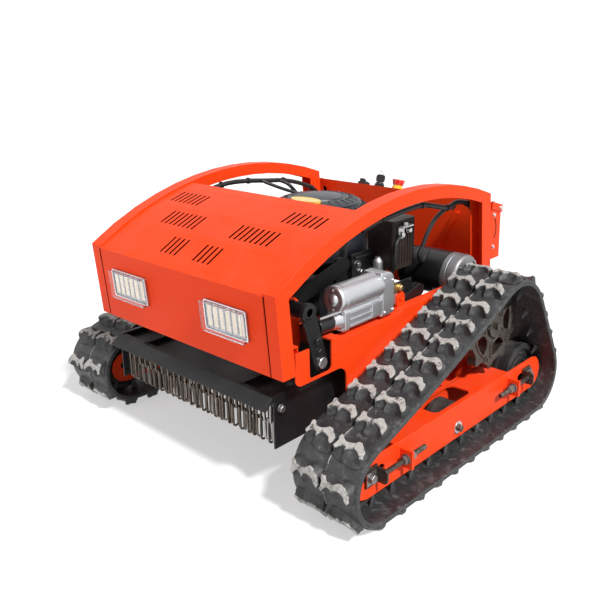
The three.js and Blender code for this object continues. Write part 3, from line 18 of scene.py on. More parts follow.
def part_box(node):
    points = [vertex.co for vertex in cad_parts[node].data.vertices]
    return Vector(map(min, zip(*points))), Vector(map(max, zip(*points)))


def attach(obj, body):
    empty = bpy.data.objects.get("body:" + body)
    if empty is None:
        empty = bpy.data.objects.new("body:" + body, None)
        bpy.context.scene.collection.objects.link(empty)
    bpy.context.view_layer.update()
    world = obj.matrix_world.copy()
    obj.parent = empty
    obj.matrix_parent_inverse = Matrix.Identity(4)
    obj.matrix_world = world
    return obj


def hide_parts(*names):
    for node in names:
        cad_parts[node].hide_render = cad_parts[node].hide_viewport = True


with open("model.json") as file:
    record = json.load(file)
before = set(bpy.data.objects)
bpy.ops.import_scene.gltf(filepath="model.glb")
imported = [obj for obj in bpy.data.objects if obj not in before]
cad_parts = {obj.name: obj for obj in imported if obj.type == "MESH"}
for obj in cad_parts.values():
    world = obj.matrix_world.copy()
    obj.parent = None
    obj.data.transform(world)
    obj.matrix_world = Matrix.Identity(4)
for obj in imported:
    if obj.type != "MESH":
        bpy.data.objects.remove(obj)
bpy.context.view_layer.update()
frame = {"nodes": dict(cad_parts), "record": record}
nodes = frame["nodes"]
body_of = {n: body for body, members in frame["record"]["behaviour"]["bodies"].items() for n in members}
slot_of = {part["node"]: part["material_slot"] for part in frame["record"]["subparts"]}

MM = 0.001
SIDES = (("left", 1), ("right", -1))
MOTOR_AXIS_Y = 705
MOTOR_AXIS_Z = 388
motor_low, motor_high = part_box("drive_motor_left")
FRONT_EDGE_Y = (motor_low.y + motor_high.y) / 2 - MOTOR_AXIS_Y * MM


def spot(x, y, z):
    """A place in the machine's millimetres, as metres in the model's frame."""
    return Vector((x * MM, y * MM + FRONT_EDGE_Y, z * MM))


# Moves what was made at the machine's own zero to the frame's zero
TO_ZERO = Matrix.Translation(-spot(0, 0, 0))


# Camera

CAMERA_SPOT = (1381.17, -980.80, 987.27)
CAMERA_YAW = math.radians(42.51)
CAMERA_PITCH = math.radians(15.54)
CAMERA_ROLL = math.radians(-0.78)
CAMERA_LENS = 44.76
CAMERA_SENSOR = 36
CAMERA_SHIFT = (-0.0422, -0.0707)


def place_camera():
    data = bpy.data.cameras.new("camera")
    data.lens = CAMERA_LENS
    data.sensor_width = CAMERA_SENSOR
    data.shift_x, data.shift_y = CAMERA_SHIFT
    camera = bpy.data.objects.new("camera", data)
    bpy.context.scene.collection.objects.link(camera)
    ahead = Vector((
        -math.sin(CAMERA_YAW) * math.cos(CAMERA_PITCH),
        math.cos(CAMERA_YAW) * math.cos(CAMERA_PITCH),
        -math.sin(CAMERA_PITCH),
    ))
    level = Vector((math.cos(CAMERA_YAW), math.sin(CAMERA_YAW), 0))
    upright = level.cross(ahead)
    right = level * math.cos(CAMERA_ROLL) + upright * math.sin(CAMERA_ROLL)
    up = upright * math.cos(CAMERA_ROLL) - level * math.sin(CAMERA_ROLL)
    turn = Matrix((right, up, -ahead)).transposed().to_4x4()
    camera.matrix_world = Matrix.Translation(spot(*CAMERA_SPOT)) @ turn
    bpy.context.scene.camera = camera


# Selecting and shaping

def only(obj):
    """Makes this object the one that is selected and active."""
    bpy.ops.object.select_all(action="DESELECT")
    obj.select_set(True)
    bpy.context.view_layer.objects.active = obj
    return obj


def apply_modifiers(obj):
    only(obj)
    for modifier in list(obj.modifiers):
        bpy.ops.object.modifier_apply(modifier=modifier.name)
    return obj


def settle(obj):
    """Moves the object's place, turn and scale into its mesh."""
    only(obj)
    bpy.ops.object.transform_apply(location=True, rotation=True, scale=True)
    return obj


def joined(name, parts):
    """One object out of several."""
    bpy.ops.object.select_all(action="DESELECT")
    for part in parts:
        part.select_set(True)
    bpy.context.view_layer.objects.active = parts[0]
    if len(parts) > 1:
        bpy.ops.object.join()
    parts[0].name = name
    parts[0].data.name = name
    return parts[0]


def copied(obj, matrix):
    """A copy with its own mesh, moved by a matrix that goes into the mesh."""
    twin = bpy.data.objects.new(obj.name, obj.data.copy())
    bpy.context.scene.collection.objects.link(twin)
    twin.data.transform(matrix)
    return twin


def opened(obj):
    """Opens a piece for editing with all of it selected."""
    only(obj)
    bpy.ops.object.mode_set(mode="EDIT")
    bpy.ops.mesh.select_all(action="SELECT")
    return obj


def closed(obj):
    """Ends the editing of a piece."""
    bpy.ops.object.mode_set(mode="OBJECT")
    return obj


def face_out(obj):
    """Merges doubles and turns every face outwards."""
    opened(obj)
    bpy.ops.mesh.remove_doubles(threshold=1e-6)
    bpy.ops.mesh.normals_make_consistent(inside=False)
    return closed(obj)


def mirrored(obj, name):
    """The same piece on the other side of the machine."""
    twin = copied(obj, Matrix.Scale(-1, 4, Vector((1, 0, 0))))
    twin.name = name
    twin.data.name = name
    twin.data.flip_normals()
    return twin


def round_edges(obj, width, segments=2, angle=35):
    """Rounds the sharp edges by so many millimetres."""
    bevel = obj.modifiers.new("rounding", "BEVEL")
    bevel.width = width * MM
    bevel.segments = segments
    bevel.limit_method = "ANGLE"
    bevel.angle_limit = math.radians(angle)
    bevel.miter_outer = "MITER_ARC"
    apply_modifiers(obj)
    return obj


def shade(obj, angle=38, weighted=True):
    """Smooth shading, with flat faces kept flat."""
    only(obj)
    bpy.ops.object.shade_smooth_by_angle(angle=math.radians(angle))
    if weighted:
        weight = obj.modifiers.new("flat_faces", "WEIGHTED_NORMAL")
        weight.keep_sharp = True
        apply_modifiers(obj)
    return obj


def dress(obj, body, finish, *stands_for, slot=None):
    """Gives a finished piece its finish and the body that it moves with."""
    obj.data.materials.clear()
    obj.data.materials.append(finish.material)
    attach(obj, body)
    if stands_for:
        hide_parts(*stands_for)
    return obj


def started(operator, **settings):
    """A new primitive as the start of a piece, the only thing selected."""
    bpy.ops.object.select_all(action="DESELECT")
    operator(**settings)
    return bpy.context.object


def slab(low, high):
    """A box between two corners, in the machine's millimetres."""
    a, b = spot(*low), spot(*high)
    return settle(started(bpy.ops.mesh.primitive_cube_add, size=1, location=(a + b) / 2, scale=b - a))


def eased_slab(low, high, edge, segments=2):
    """A box whose edges are all rounded by so many millimetres."""
    return round_edges(slab(low, high), edge, segments, 40)


AXES = {"x": Vector((1, 0, 0)), "y": Vector((0, 1, 0)), "z": Vector((0, 0, 1))}


def turn_to(axis):
    """The turn that brings Z onto an axis, given by letter or as a vector."""
    direction = AXES[axis] if isinstance(axis, str) else Vector(axis).normalized()
    return direction.to_track_quat("Z", "Y").to_matrix().to_4x4()


def turned(profile, centre, axis, steps=48):
    """A profile of (along, radius) points in millimetres spun round an axis."""
    obj = opened(started(bpy.ops.mesh.primitive_plane_add, size=MM))
    bpy.ops.mesh.delete(type="VERT")
    mesh = bmesh.from_edit_mesh(obj.data)
    ring = [mesh.verts.new((radius * MM, 0, along * MM)) for along, radius in profile]
    for a, b in zip(ring, ring[1:]):
        mesh.edges.new((a, b))
    bmesh.update_edit_mesh(obj.data)
    bpy.ops.mesh.select_all(action="SELECT")
    bpy.ops.mesh.spin(steps=steps, angle=math.tau, center=(0, 0, 0), axis=(0, 0, 1))
    face_out(closed(obj))
    obj.data.transform(Matrix.Translation(spot(*centre)) @ turn_to(axis))
    return obj


# Shared effects as node groups

class Net:
    """Short ways to add and wire shader nodes in one tree."""

    def __init__(self, tree):
        self.tree = tree

    def add(self, kind, **settings):
        node = self.tree.nodes.new(kind)
        for key, value in settings.items():
            setattr(node, key, value)
        return node

    def wire(self, source, target):
        self.tree.links.new(source, target)

    def feed(self, target, value):
        if isinstance(value, bpy.types.NodeSocket):
            self.wire(value, target)
        else:
            target.default_value = value

    def maths(self, operation, a, b=0.0, clamp=False):
        node = self.add("ShaderNodeMath", operation=operation, use_clamp=clamp)
        self.feed(node.inputs[0], a)
        self.feed(node.inputs[1], b)
        return node.outputs[0]

    def times(self, a, b, clamp=False):
        return self.maths("MULTIPLY", a, b, clamp)

    def span(self, value, low, high, out_low=0.0, out_high=1.0):
        node = self.add("ShaderNodeMapRange", clamp=True)
        for socket, given in zip(node.inputs, (value, low, high, out_low, out_high)):
            self.feed(socket, given)
        return node.outputs[0]

    def noise(self, scale, detail=4.0, rough=0.55, vector=None):
        node = self.add("ShaderNodeTexNoise")
        self.feed(node.inputs["Scale"], scale)
        node.inputs["Detail"].default_value = detail
        node.inputs["Roughness"].default_value = rough
        self.wire(vector or self.here(), node.inputs["Vector"])
        return node.outputs["Fac"]

    def here(self):
        return self.add("ShaderNodeTexCoord").outputs["Object"]


def effect(name, output, **inputs):
    """A node group with named number inputs and one number output."""
    tree = bpy.data.node_groups.new(name, "ShaderNodeTree")
    for label, value in inputs.items():
        socket = tree.interface.new_socket(name=label, in_out="INPUT", socket_type="NodeSocketFloat")
        socket.default_value = value
    tree.interface.new_socket(name=output, in_out="OUTPUT", socket_type="NodeSocketFloat")
    net = Net(tree)
    return net, net.add("NodeGroupInput").outputs, net.add("NodeGroupOutput").inputs


def edge_wear_and_highlight_effect():
    """Where an edge is rubbed: the rounded normal leaves the face's own normal. The finishes lighten this
    mask, partly as wear and partly as a painted highlight.
    """
    net, given, out = effect("edge_wear_and_highlight", "Mask", Width=0.002, Amount=1.0, Breakup=60.0)
    rounded = net.add("ShaderNodeBevel", samples=4)
    net.wire(given["Width"], rounded.inputs["Radius"])
    straight = net.add("ShaderNodeNewGeometry")
    product = net.add("ShaderNodeVectorMath", operation="DOT_PRODUCT")
    net.wire(rounded.outputs[0], product.inputs[0])
    net.wire(straight.outputs["Normal"], product.inputs[1])
    bend = net.span(product.outputs["Value"], 0.985, 0.86)
    broken = net.span(net.noise(given["Breakup"], 5.0, 0.65), 0.46, 0.62)
    net.wire(net.times(net.times(bend, broken), given["Amount"], True), out["Mask"])
    return net.tree


def dust_effect():
    """Dust that lies on what faces up and clings low down."""
    net, given, out = effect("dust", "Mask", Reach=0.3, Amount=0.5, Scale=18.0)
    height = net.add("ShaderNodeSeparateXYZ")
    net.wire(net.here(), height.inputs[0])
    low = net.span(height.outputs["Z"], given["Reach"], 0.0)
    facing = net.add("ShaderNodeSeparateXYZ")
    net.wire(net.add("ShaderNodeNewGeometry").outputs["Normal"], facing.inputs[0])
    lying = net.span(facing.outputs["Z"], 0.2, 1.0, 0.0, 0.5)
    cloud = net.span(net.noise(given["Scale"], 7.0, 0.7), 0.4, 0.72)
    mask = net.times(net.maths("MAXIMUM", low, lying), cloud)
    net.wire(net.times(mask, given["Amount"], True), out["Mask"])
    return net.tree


def grain_effect():
    """A fine all-over grain, as a height: powder coat, cast skin or moulded plastic."""
    net, given, out = effect("grain", "Height", Scale=900.0, Coarse=0.3)
    fine = net.noise(given["Scale"], 2.0)
    broad = net.noise(net.times(given["Scale"], 0.12), 3.0)
    net.wire(net.maths("ADD", fine, net.times(broad, given["Coarse"])), out["Height"])
    return net.tree


def patches_effect():
    """Broad soft patches, for colour and gloss that are never quite even."""
    net, given, out = effect("patches", "Mask", Scale=6.0, Amount=1.0)
    mask = net.span(net.noise(given["Scale"], 5.0, 0.6), 0.38, 0.66)
    net.wire(net.times(mask, given["Amount"], True), out["Mask"])
    return net.tree


def scratches_effect():
    """Thin scratches that run in two directions."""
    net, given, out = effect("scratches", "Mask", Scale=40.0, Amount=0.5)
    masks = []
    for turn in (0.35, 1.9):
        mapping = net.add("ShaderNodeMapping")
        mapping.inputs["Rotation"].default_value = (turn, turn * 0.6, turn)
        mapping.inputs["Scale"].default_value = (1.0, 0.03, 1.0)
        net.wire(net.here(), mapping.inputs["Vector"])
        line = net.noise(net.times(given["Scale"], 8.0), 2.0, 0.5, mapping.outputs[0])
        masks.append(net.span(line, 0.66, 0.7))
    held = net.span(net.noise(given["Scale"], 3.0), 0.5, 0.65)
    both = net.times(net.maths("MAXIMUM", *masks), held)
    net.wire(net.times(both, given["Amount"], True), out["Mask"])
    return net.tree


EFFECTS = {tree.name: tree for tree in (
    edge_wear_and_highlight_effect(), dust_effect(), grain_effect(), patches_effect(), scratches_effect(),
)}


# Finishes

class Finish(Net):
    """A material built up in layers over one Principled shader, with the slot that it is for.

    Each layer gives its effect's inputs, then the colour, roughness and metal that it lays over
    the rest. grain gives a bump's scale and coarseness, then its strength and depth.
    """

    def __init__(self, slot, name, colour, roughness, metallic=0.0, level=None, uniform=(), grain=None,
                 **layers):
        self.slot = slot
        self.material = bpy.data.materials.new(name)
        self.material.use_nodes = True
        super().__init__(self.material.node_tree)
        self.shader = self.tree.nodes["Principled BSDF"]
        self.bumps = None
        self.state = {"Base Color": (*colour, 1.0), "Roughness": roughness, "Metallic": metallic}
        given = {**self.state, **dict(uniform)}
        if level is not None:
            given["Specular IOR Level"] = level
        for label, value in given.items():
            self.shader.inputs[label].default_value = value
        for effect_name, (inputs, *look) in layers.items():
            self.layer(self.use(effect_name, *inputs), *look)
        if grain:
            scale, coarse, strength, depth = grain
            self.relief(self.use("grain", scale, coarse), strength, depth)

    def use(self, effect_name, *values):
        """What a shared effect puts out for these values of its inputs, given in order."""
        node = self.add("ShaderNodeGroup", node_tree=EFFECTS[effect_name])
        for socket, value in zip(node.inputs, values):
            self.feed(socket, value)
        return node.outputs[0]

    def layer(self, mask, colour=None, roughness=None, metallic=None):
        """Lays another colour, roughness or metal over what is there, where the mask is."""
        given = {"Base Color": colour and (*colour, 1.0), "Roughness": roughness, "Metallic": metallic}
        for label, value in given.items():
            if value is None:
                continue
            coloured = label == "Base Color"
            mix = self.add("ShaderNodeMix", data_type="RGBA" if coloured else "FLOAT")
            first, second, result = (6, 7, 2) if coloured else (2, 3, 0)
            self.feed(mix.inputs[0], mask)
            self.feed(mix.inputs[first], self.state[label])
            self.feed(mix.inputs[second], value)
            self.state[label] = mix.outputs[result]
            self.feed(self.shader.inputs[label], mix.outputs[result])

    def relief(self, height, strength, depth):
        """A bump over the bumps that are there, as deep as so many millimetres."""
        bump = self.add("ShaderNodeBump")
        bump.inputs["Strength"].default_value = strength
        bump.inputs["Distance"].default_value = depth * MM
        self.feed(bump.inputs["Height"], height)
        if self.bumps:
            self.wire(self.bumps, bump.inputs["Normal"])
        self.bumps = bump.outputs[0]
        self.wire(self.bumps, self.shader.inputs["Normal"])


def tread_rubber():
    """Belt rubber: dark and scuffed, with pale dusty lug tops from the piece's worn attribute."""
    made = Finish("rubber", "tread_rubber", (0.022, 0.0225, 0.024), 0.45, level=0.45,
                  patches=((22.0, 0.85), (0.042, 0.043, 0.045), 0.58))
    worn = made.add("ShaderNodeAttribute", attribute_name="worn").outputs["Fac"]
    along = made.add("ShaderNodeAttribute", attribute_name="along").outputs["Fac"]
    made.layer(made.span(made.noise(46.0, 8.0, 0.76), 0.53, 0.68), (0.13, 0.128, 0.124), 0.75)
    ragged = made.times(made.span(made.noise(70.0, 7.0, 0.75), 0.30, 0.70), 0.9)
    crown = made.span(made.maths("ADD", made.times(worn, 0.85), ragged), 0.98, 1.22)
    made.layer(crown, (0.47, 0.455, 0.43), 0.9)
    speckled = made.span(made.noise(260.0, 5.0, 0.7), 0.52, 0.66)
    made.layer(made.times(crown, speckled), (0.24, 0.23, 0.22), 0.85)
    made.relief(made.noise(420.0, 6.0, 0.7), 0.5, 0.7)
    made.relief(made.noise(80.0, 4.0, 0.6), 0.7, 3.0)
    made.relief(made.maths("SINE", made.times(along, 7.1)), 0.25, 0.3)
    return made


def metal(slot, name, colour, worn_colour, roughness):
    """Plated or bare metal, brighter at its edges, partly as wear and partly as a painted highlight."""
    return Finish(slot, name, colour, roughness, 1.0,
                  patches=((24.0, 0.6), worn_colour, roughness + 0.1),
                  edge_wear_and_highlight=((0.0015, 0.5, 80.0), tuple(min(1, c * 1.25) for c in colour), roughness),
                  grain=(1400.0, 0.6, 0.15, 0.15))


def black_sheen(slot, name, colour, paler, roughness, level):
    """A dark skin with broad soft patches."""
    return Finish(slot, name, colour, roughness, level=level,
                  patches=((18.0, 0.7), paler, roughness + 0.12), grain=(900.0, 0.6, 0.2, 0.15))


def gloss_plastic(slot, name, colour, darker):
    """Bright moulded plastic with fine scratches."""
    return Finish(slot, name, colour, 0.24, uniform={"Coat Weight": 0.4},
                  patches=((40.0, 0.5), darker, 0.34),
                  scratches=((60.0, 0.3), tuple(min(1.0, c + 0.1) for c in colour), 0.4),
                  grain=(900.0, 0.5, 0.08, 0.15))


DUST_COLOUR = (0.34, 0.29, 0.235)
RED_COAT = Finish(
    "red_paint", "red_powder_coat", (0.94, 0.060, 0.008), 0.38, level=0.10,
    patches=((4.0, 0.45), (0.89, 0.050, 0.007), 0.46),
    scratches=((22.0, 0.2), (0.95, 0.15, 0.05), 0.5),
    # The paler red along the edges is partly wear and partly a painted highlight.
    edge_wear_and_highlight=((0.0022, 0.45, 45.0), (0.96, 0.19, 0.09), 0.5),
    dust=((0.16, 0.18, 16.0), DUST_COLOUR, 0.8),
    grain=(1100.0, 0.8, 0.10, 0.25),
)
BLACK_COAT = Finish(
    "black_paint", "black_powder_coat", (0.006, 0.0063, 0.007), 0.42, level=0.28,
    patches=((7.0, 0.7), (0.011, 0.0115, 0.013), 0.5),
    scratches=((26.0, 0.35), (0.09, 0.09, 0.095), 0.45),
    edge_wear_and_highlight=((0.002, 0.6, 60.0), (0.14, 0.135, 0.13), 0.4),
    dust=((0.2, 0.12, 20.0), DUST_COLOUR, 0.85),
    grain=(900.0, 0.9, 0.18, 0.3),
)
TREAD_RUBBER = tread_rubber()
PLAIN_RUBBER = Finish(
    "dark_rubber", "wheel_rubber", (0.011, 0.0115, 0.013), 0.5, level=0.4,
    patches=((16.0, 0.8), (0.024, 0.025, 0.027), 0.62),
    edge_wear_and_highlight=((0.003, 0.6, 70.0), (0.12, 0.115, 0.11), 0.7),
    dust=((0.2, 0.4, 26.0), DUST_COLOUR, 0.9),
    grain=(500.0, 1.0, 0.25, 0.4),
)
CAST_ALUMINIUM = Finish(
    "cast_metal", "cast_aluminium", (0.60, 0.61, 0.63), 0.34, 1.0,
    patches=((18.0, 0.7), (0.50, 0.51, 0.53), 0.46),
    edge_wear_and_highlight=((0.0018, 0.7, 80.0), (0.78, 0.79, 0.8), 0.28),
    grain=(1300.0, 0.6, 0.3, 0.25),
)
OILED_IRON = Finish(
    "dark_iron", "oiled_iron", (0.055, 0.047, 0.041), 0.38, 0.85,
    patches=((24.0, 0.8), (0.075, 0.055, 0.042), 0.5, 0.6),
    edge_wear_and_highlight=((0.002, 0.9, 70.0), (0.42, 0.40, 0.38), 0.32, 1.0),
    dust=((0.4, 0.35, 30.0), DUST_COLOUR, 0.85, 0.0),
    grain=(700.0, 1.2, 0.35, 0.4),
)
CHAIN_STEEL = Finish(
    "steel", "chain_steel", (0.17, 0.145, 0.125), 0.38, 1.0,
    patches=((45.0, 0.85), (0.12, 0.085, 0.06), 0.55, 0.8),
    scratches=((60.0, 0.6), (0.62, 0.59, 0.55), 0.32),
    grain=(900.0, 0.7, 0.25, 0.2),
)
ZINC = Finish(
    "steel", "zinc_plate", (0.63, 0.635, 0.64), 0.3, 1.0,
    patches=((70.0, 0.7), (0.48, 0.475, 0.46), 0.42),
    grain=(1500.0, 0.5, 0.2, 0.12),
)
MOTOR_ENAMEL = Finish(
    "black_motor", "motor_enamel", (0.008, 0.0085, 0.010), 0.34, level=0.4,
    patches=((12.0, 0.7), (0.018, 0.018, 0.02), 0.44),
    edge_wear_and_highlight=((0.002, 0.5, 70.0), (0.2, 0.2, 0.2), 0.4),
    grain=(1000.0, 0.6, 0.2, 0.2),
)
MOULDED_PLASTIC = Finish(
    "black_plastic", "moulded_plastic", (0.009, 0.0095, 0.011), 0.46, level=0.4,
    patches=((14.0, 0.6), (0.015, 0.016, 0.019), 0.56),
    edge_wear_and_highlight=((0.0015, 0.3, 80.0), (0.09, 0.09, 0.095), 0.5),
    grain=(1600.0, 0.4, 0.25, 0.15),
)
LAMP_SILVER = Finish(
    "lamp_silver", "lamp_silver", (0.52, 0.52, 0.54), 0.24, 1.0,
    patches=((60.0, 0.6), (0.40, 0.405, 0.42), 0.36),
    grain=(600.0, 1.0, 0.15, 0.2),
)
LAMP_COVER = Finish(
    "lamp_clear", "lamp_cover", (0.97, 0.975, 0.985), 0.04,
    uniform={"Transmission Weight": 1.0, "IOR": 1.25},
)
LAMP_COVER.relief(LAMP_COVER.noise(140.0, 3.0), 0.05, 0.2)
WARM_STRIP = Finish(
    "stop_yellow", "led_strip", (0.78, 0.66, 0.50), 0.4,
    uniform={"Emission Strength": 0.05, "Emission Color": (1.0, 0.85, 0.65, 1.0)},
    patches=((220.0, 0.8), (0.84, 0.78, 0.68), 0.3),
)
CAST_SILVER = metal("cast_metal", "silvered_casting", (0.62, 0.63, 0.65), (0.54, 0.55, 0.57), 0.40)
CAST_GREY = metal("cast_metal", "grey_casting", (0.30, 0.30, 0.31), (0.24, 0.24, 0.25), 0.5)
GOLD_ZINC = metal("steel", "yellow_zinc", (0.62, 0.44, 0.20), (0.46, 0.30, 0.13), 0.34)
DULL_ZINC = metal("steel", "dull_zinc", (0.27, 0.265, 0.26), (0.19, 0.175, 0.165), 0.46)
# Painted light: a paler chain steel for the two chains at the lit end of the front row.
CHAIN_PAINTED_LIGHT = metal("steel", "bright_chain", (0.44, 0.43, 0.41), (0.26, 0.24, 0.22), 0.4)
GREY_IRON = metal("dark_iron", "grey_iron", (0.10, 0.105, 0.11), (0.07, 0.072, 0.076), 0.42)
COWL_PLASTIC = black_sheen(
    "black_plastic", "cowl_plastic", (0.014, 0.016, 0.022), (0.024, 0.027, 0.036), 0.34, 0.5)
SLEEVE_RUBBER = black_sheen(
    "dark_rubber", "sleeve_rubber", (0.008, 0.0085, 0.0095), (0.016, 0.0165, 0.018), 0.42, 0.45)
BURNT_STEEL = black_sheen(
    "dark_iron", "burnt_steel", (0.020, 0.014, 0.012), (0.036, 0.024, 0.019), 0.5, 0.3)
# Near black for two uses: the front seams' dark joints, and painted shade in the hood's slots.
DARK_JOINT_AND_SLOT_SHADE = black_sheen(
    "black_plastic", "dark_joint_and_slot_shade", (0.006, 0.003, 0.003), (0.012, 0.005, 0.005), 0.8, 0.0)
# Painted shade: a darker black for the lift shaft, so that it sinks into the bay's shade.
ARM_PAINTED_SHADE = black_sheen(
    "black_paint", "arm_black", (0.004, 0.004, 0.0045), (0.008, 0.008, 0.009), 0.5, 0.12)
BADGE_YELLOW = gloss_plastic("stop_yellow", "badge_yellow", (0.80, 0.56, 0.06), (0.70, 0.46, 0.04))
STOP_RED = gloss_plastic("stop_red", "button_red", (0.78, 0.03, 0.018), (0.66, 0.02, 0.012))
STOP_YELLOW = gloss_plastic("stop_yellow", "ring_yellow", (0.93, 0.62, 0.03), (0.85, 0.52, 0.02))

FINISH_OF_SLOT = {finish.slot: finish for finish in (
    RED_COAT, BLACK_COAT, TREAD_RUBBER, PLAIN_RUBBER, CAST_ALUMINIUM, OILED_IRON, CHAIN_STEEL,
    MOTOR_ENAMEL, MOULDED_PLASTIC, LAMP_SILVER, LAMP_COVER, STOP_RED, STOP_YELLOW,
)}


# Picking faces and edges, and forms made from them

def pick(obj, kind, test):
    """Opens a piece for editing with only the faces or edges selected that pass a test."""
    only(obj)
    bpy.ops.object.mode_set(mode="EDIT")
    bpy.ops.mesh.select_mode(type=kind)
    bpy.ops.mesh.select_all(action="DESELECT")
    mesh = bmesh.from_edit_mesh(obj.data)
    mesh.normal_update()
    for element in mesh.faces if kind == "FACE" else mesh.edges:
        if test(element):
            element.select_set(True)
    bmesh.update_edit_mesh(obj.data)


def rounded_slab(low, high, radius, axis="y", segments=4, edge=0.0):
    """A box whose edges along one axis are rounded, and its other edges a little."""
    obj = slab(low, high)
    way = AXES[axis]
    pick(obj, "EDGE", lambda e: abs((e.verts[0].co - e.verts[1].co).normalized().dot(way)) > 0.9)
    bpy.ops.mesh.bevel(offset=radius * MM, segments=segments, affect="EDGES")
    closed(obj)
    return round_edges(obj, edge, 1, 50) if edge else obj


def pocket(obj, way, wall, depth):
    """Insets the faces that look one way and pushes them in, or out for a depth below zero."""
    pick(obj, "FACE", lambda f: f.normal.dot(way) > 0.95)
    bpy.ops.mesh.inset(thickness=wall * MM)
    bpy.ops.mesh.extrude_region_move(TRANSFORM_OT_translate={"value": way * (-depth * MM)})
    return closed(obj)


def plate(outline, axis, low, high):
    """A flat outline pulled along X, Y or Z from one height to another."""
    obj = started(bpy.ops.mesh.primitive_circle_add, vertices=len(outline), radius=MM, fill_type="NGON")
    for vertex, (u, v) in zip(obj.data.vertices, outline):
        vertex.co = {"x": spot(low, u, v), "y": spot(u, low, v), "z": spot(u, v, low)}[axis]
    opened(obj)
    bpy.ops.mesh.extrude_region_move(TRANSFORM_OT_translate={"value": AXES[axis] * ((high - low) * MM)})
    return face_out(closed(obj))


def round_about(centre, radius, angle, radius_v=None):
    """A point of a circle, or of an ellipse if a second radius is given."""
    u, v = centre
    return u + radius * math.cos(angle), v + (radius_v or radius) * math.sin(angle)


def smooth_route(route, pitch):
    """Points every so many millimetres on a smooth line through the given ones."""
    given = [Vector(place) for place in route]
    padded = [given[0] * 2 - given[1], *given, given[-1] * 2 - given[-2]]
    fine = []
    for a, b, c, d in zip(padded, padded[1:], padded[2:], padded[3:]):
        steps = max(1, round((c - b).length / pitch))
        for k in range(steps):
            t = k / steps
            fine.append((b * 2 + (c - a) * t + (a * 2 - b * 5 + c * 4 - d) * t ** 2
                         + (b * 3 - a - c * 3 + d) * t ** 3) / 2)
    return [*fine, given[-1]]


def tube(route, radius, pitch=8.0, rib=0.0, closed_loop=False, sides=4):
    """A tube along a smooth route, ribbed like a wiring sleeve where rib is above zero."""
    line = smooth_route([*route, route[0]], pitch)[:-1] if closed_loop else smooth_route(route, pitch)
    data = bpy.data.curves.new("tube", "CURVE")
    data.dimensions = "3D"
    data.bevel_depth = radius * MM
    data.bevel_resolution = sides
    data.use_fill_caps = True
    spline = data.splines.new("POLY")
    spline.points.add(len(line) - 1)
    spline.use_cyclic_u = closed_loop
    for k, (point, place) in enumerate(zip(spline.points, line)):
        point.co = (*spot(*place), 1)
        point.radius = 1 - rib * (k % 2)
    obj = bpy.data.objects.new("tube", data)
    bpy.context.scene.collection.objects.link(obj)
    only(obj)
    bpy.ops.object.convert(target="MESH")
    return face_out(bpy.context.object)


# A hexagon's width over its corners, as a share of its width over its flats
CORNER_SHARE = 1.155


def bolt(centre, axis, across=13, height=6, washer=11, sides=6):
    """A hexagon head with a chamfered top on its washer, standing out along an axis."""
    lift = 1.6 if washer else 0
    head = started(bpy.ops.mesh.primitive_cylinder_add, vertices=sides, depth=height * MM,
                   radius=across / 2 * CORNER_SHARE * MM, location=(0, 0, (height / 2 + lift) * MM))
    parts = [round_edges(settle(head), min(1.0, height / 5), 1, 70)]
    if washer:
        disc = started(bpy.ops.mesh.primitive_cylinder_add, vertices=24, radius=washer * MM,
                       depth=lift * MM, location=(0, 0, lift / 2 * MM))
        parts.append(round_edges(settle(disc), 0.35, 1, 50))
    made = joined("bolt", parts)
    made.data.transform(Matrix.Translation(spot(*centre)) @ turn_to(axis))
    return made


def finished(name, parts, body, finish, *stands_for, angle=38, slot=None):
    """Joins parts into one shaded, dressed piece."""
    piece = joined(name, parts)
    shade(piece, angle)
    return dress(piece, body, finish, *stands_for, slot=slot)


def on_both_sides(name, parts, body, finish, *stands_for):
    """A piece of the left side and its mirror image, with the side in place of each {}."""
    left = finished(name.format("left"), parts, body.format("left"), finish,
                    *(node.format("left") for node in stands_for))
    dress(mirrored(left, name.format("right")), body.format("right"), finish,
          *(node.format("right") for node in stands_for))


# Copies of the model's pieces with rounded edges

def corner_edges(node):
    """Which edges of a model piece have large round corners on the real thing, and how large."""
    def runs(edge, axis):
        return abs((edge.verts[0].co - edge.verts[1].co).normalized().dot(AXES[axis])) > 0.99
    if "_tensioner_" in node:
        return 11, lambda e: runs(e, "y") and min(abs(v.co.x) for v in e.verts) > 524 * MM
    if "track_beam_" in node:
        return 17, lambda e: (runs(e, "z") and e.calc_length() < 8 * MM
                              and min(v.co.z for v in e.verts) > 140 * MM
                              and all(abs(abs(v.co.x) - TRACK_CENTRE * MM) < 40 * MM for v in e.verts))
    return 0, None


def finish_of(node):
    """The finish of a model piece, which is its slot's but for two that look darker: the muffler, and the
    lift shaft, whose darker black is painted shade.
    """
    return {"muffler": BURNT_STEEL, "lift_shaft": ARM_PAINTED_SHADE}.get(node, FINISH_OF_SLOT[slot_of[node]])


# How far out the lift levers may come, so that they clear the side plates
LEVER_REACH = 338.6


def softened(node, width, segments=2):
    """A copy of a model piece with merged seams and rounded edges, which stands for it."""
    obj = bpy.data.objects.new(node + "_rounded", nodes[node].data.copy())
    bpy.context.scene.collection.objects.link(obj)
    opened(obj)
    bpy.ops.mesh.remove_doubles(threshold=1e-5)
    bpy.ops.mesh.dissolve_limited(angle_limit=math.radians(0.5))
    closed(obj)
    radius, test = corner_edges(node)
    if radius:
        pick(obj, "EDGE", test)
        bpy.ops.mesh.bevel(offset=radius * MM, segments=5, affect="EDGES", clamp_overlap=True)
        closed(obj)
    round_edges(obj, width, segments)
    if "lift_lever" in node:
        for vertex in obj.data.vertices:
            vertex.co.x = max(-LEVER_REACH * MM, min(LEVER_REACH * MM, vertex.co.x))
    shade(obj)
    return dress(obj, body_of[node], finish_of(node), node, slot=slot_of[node])


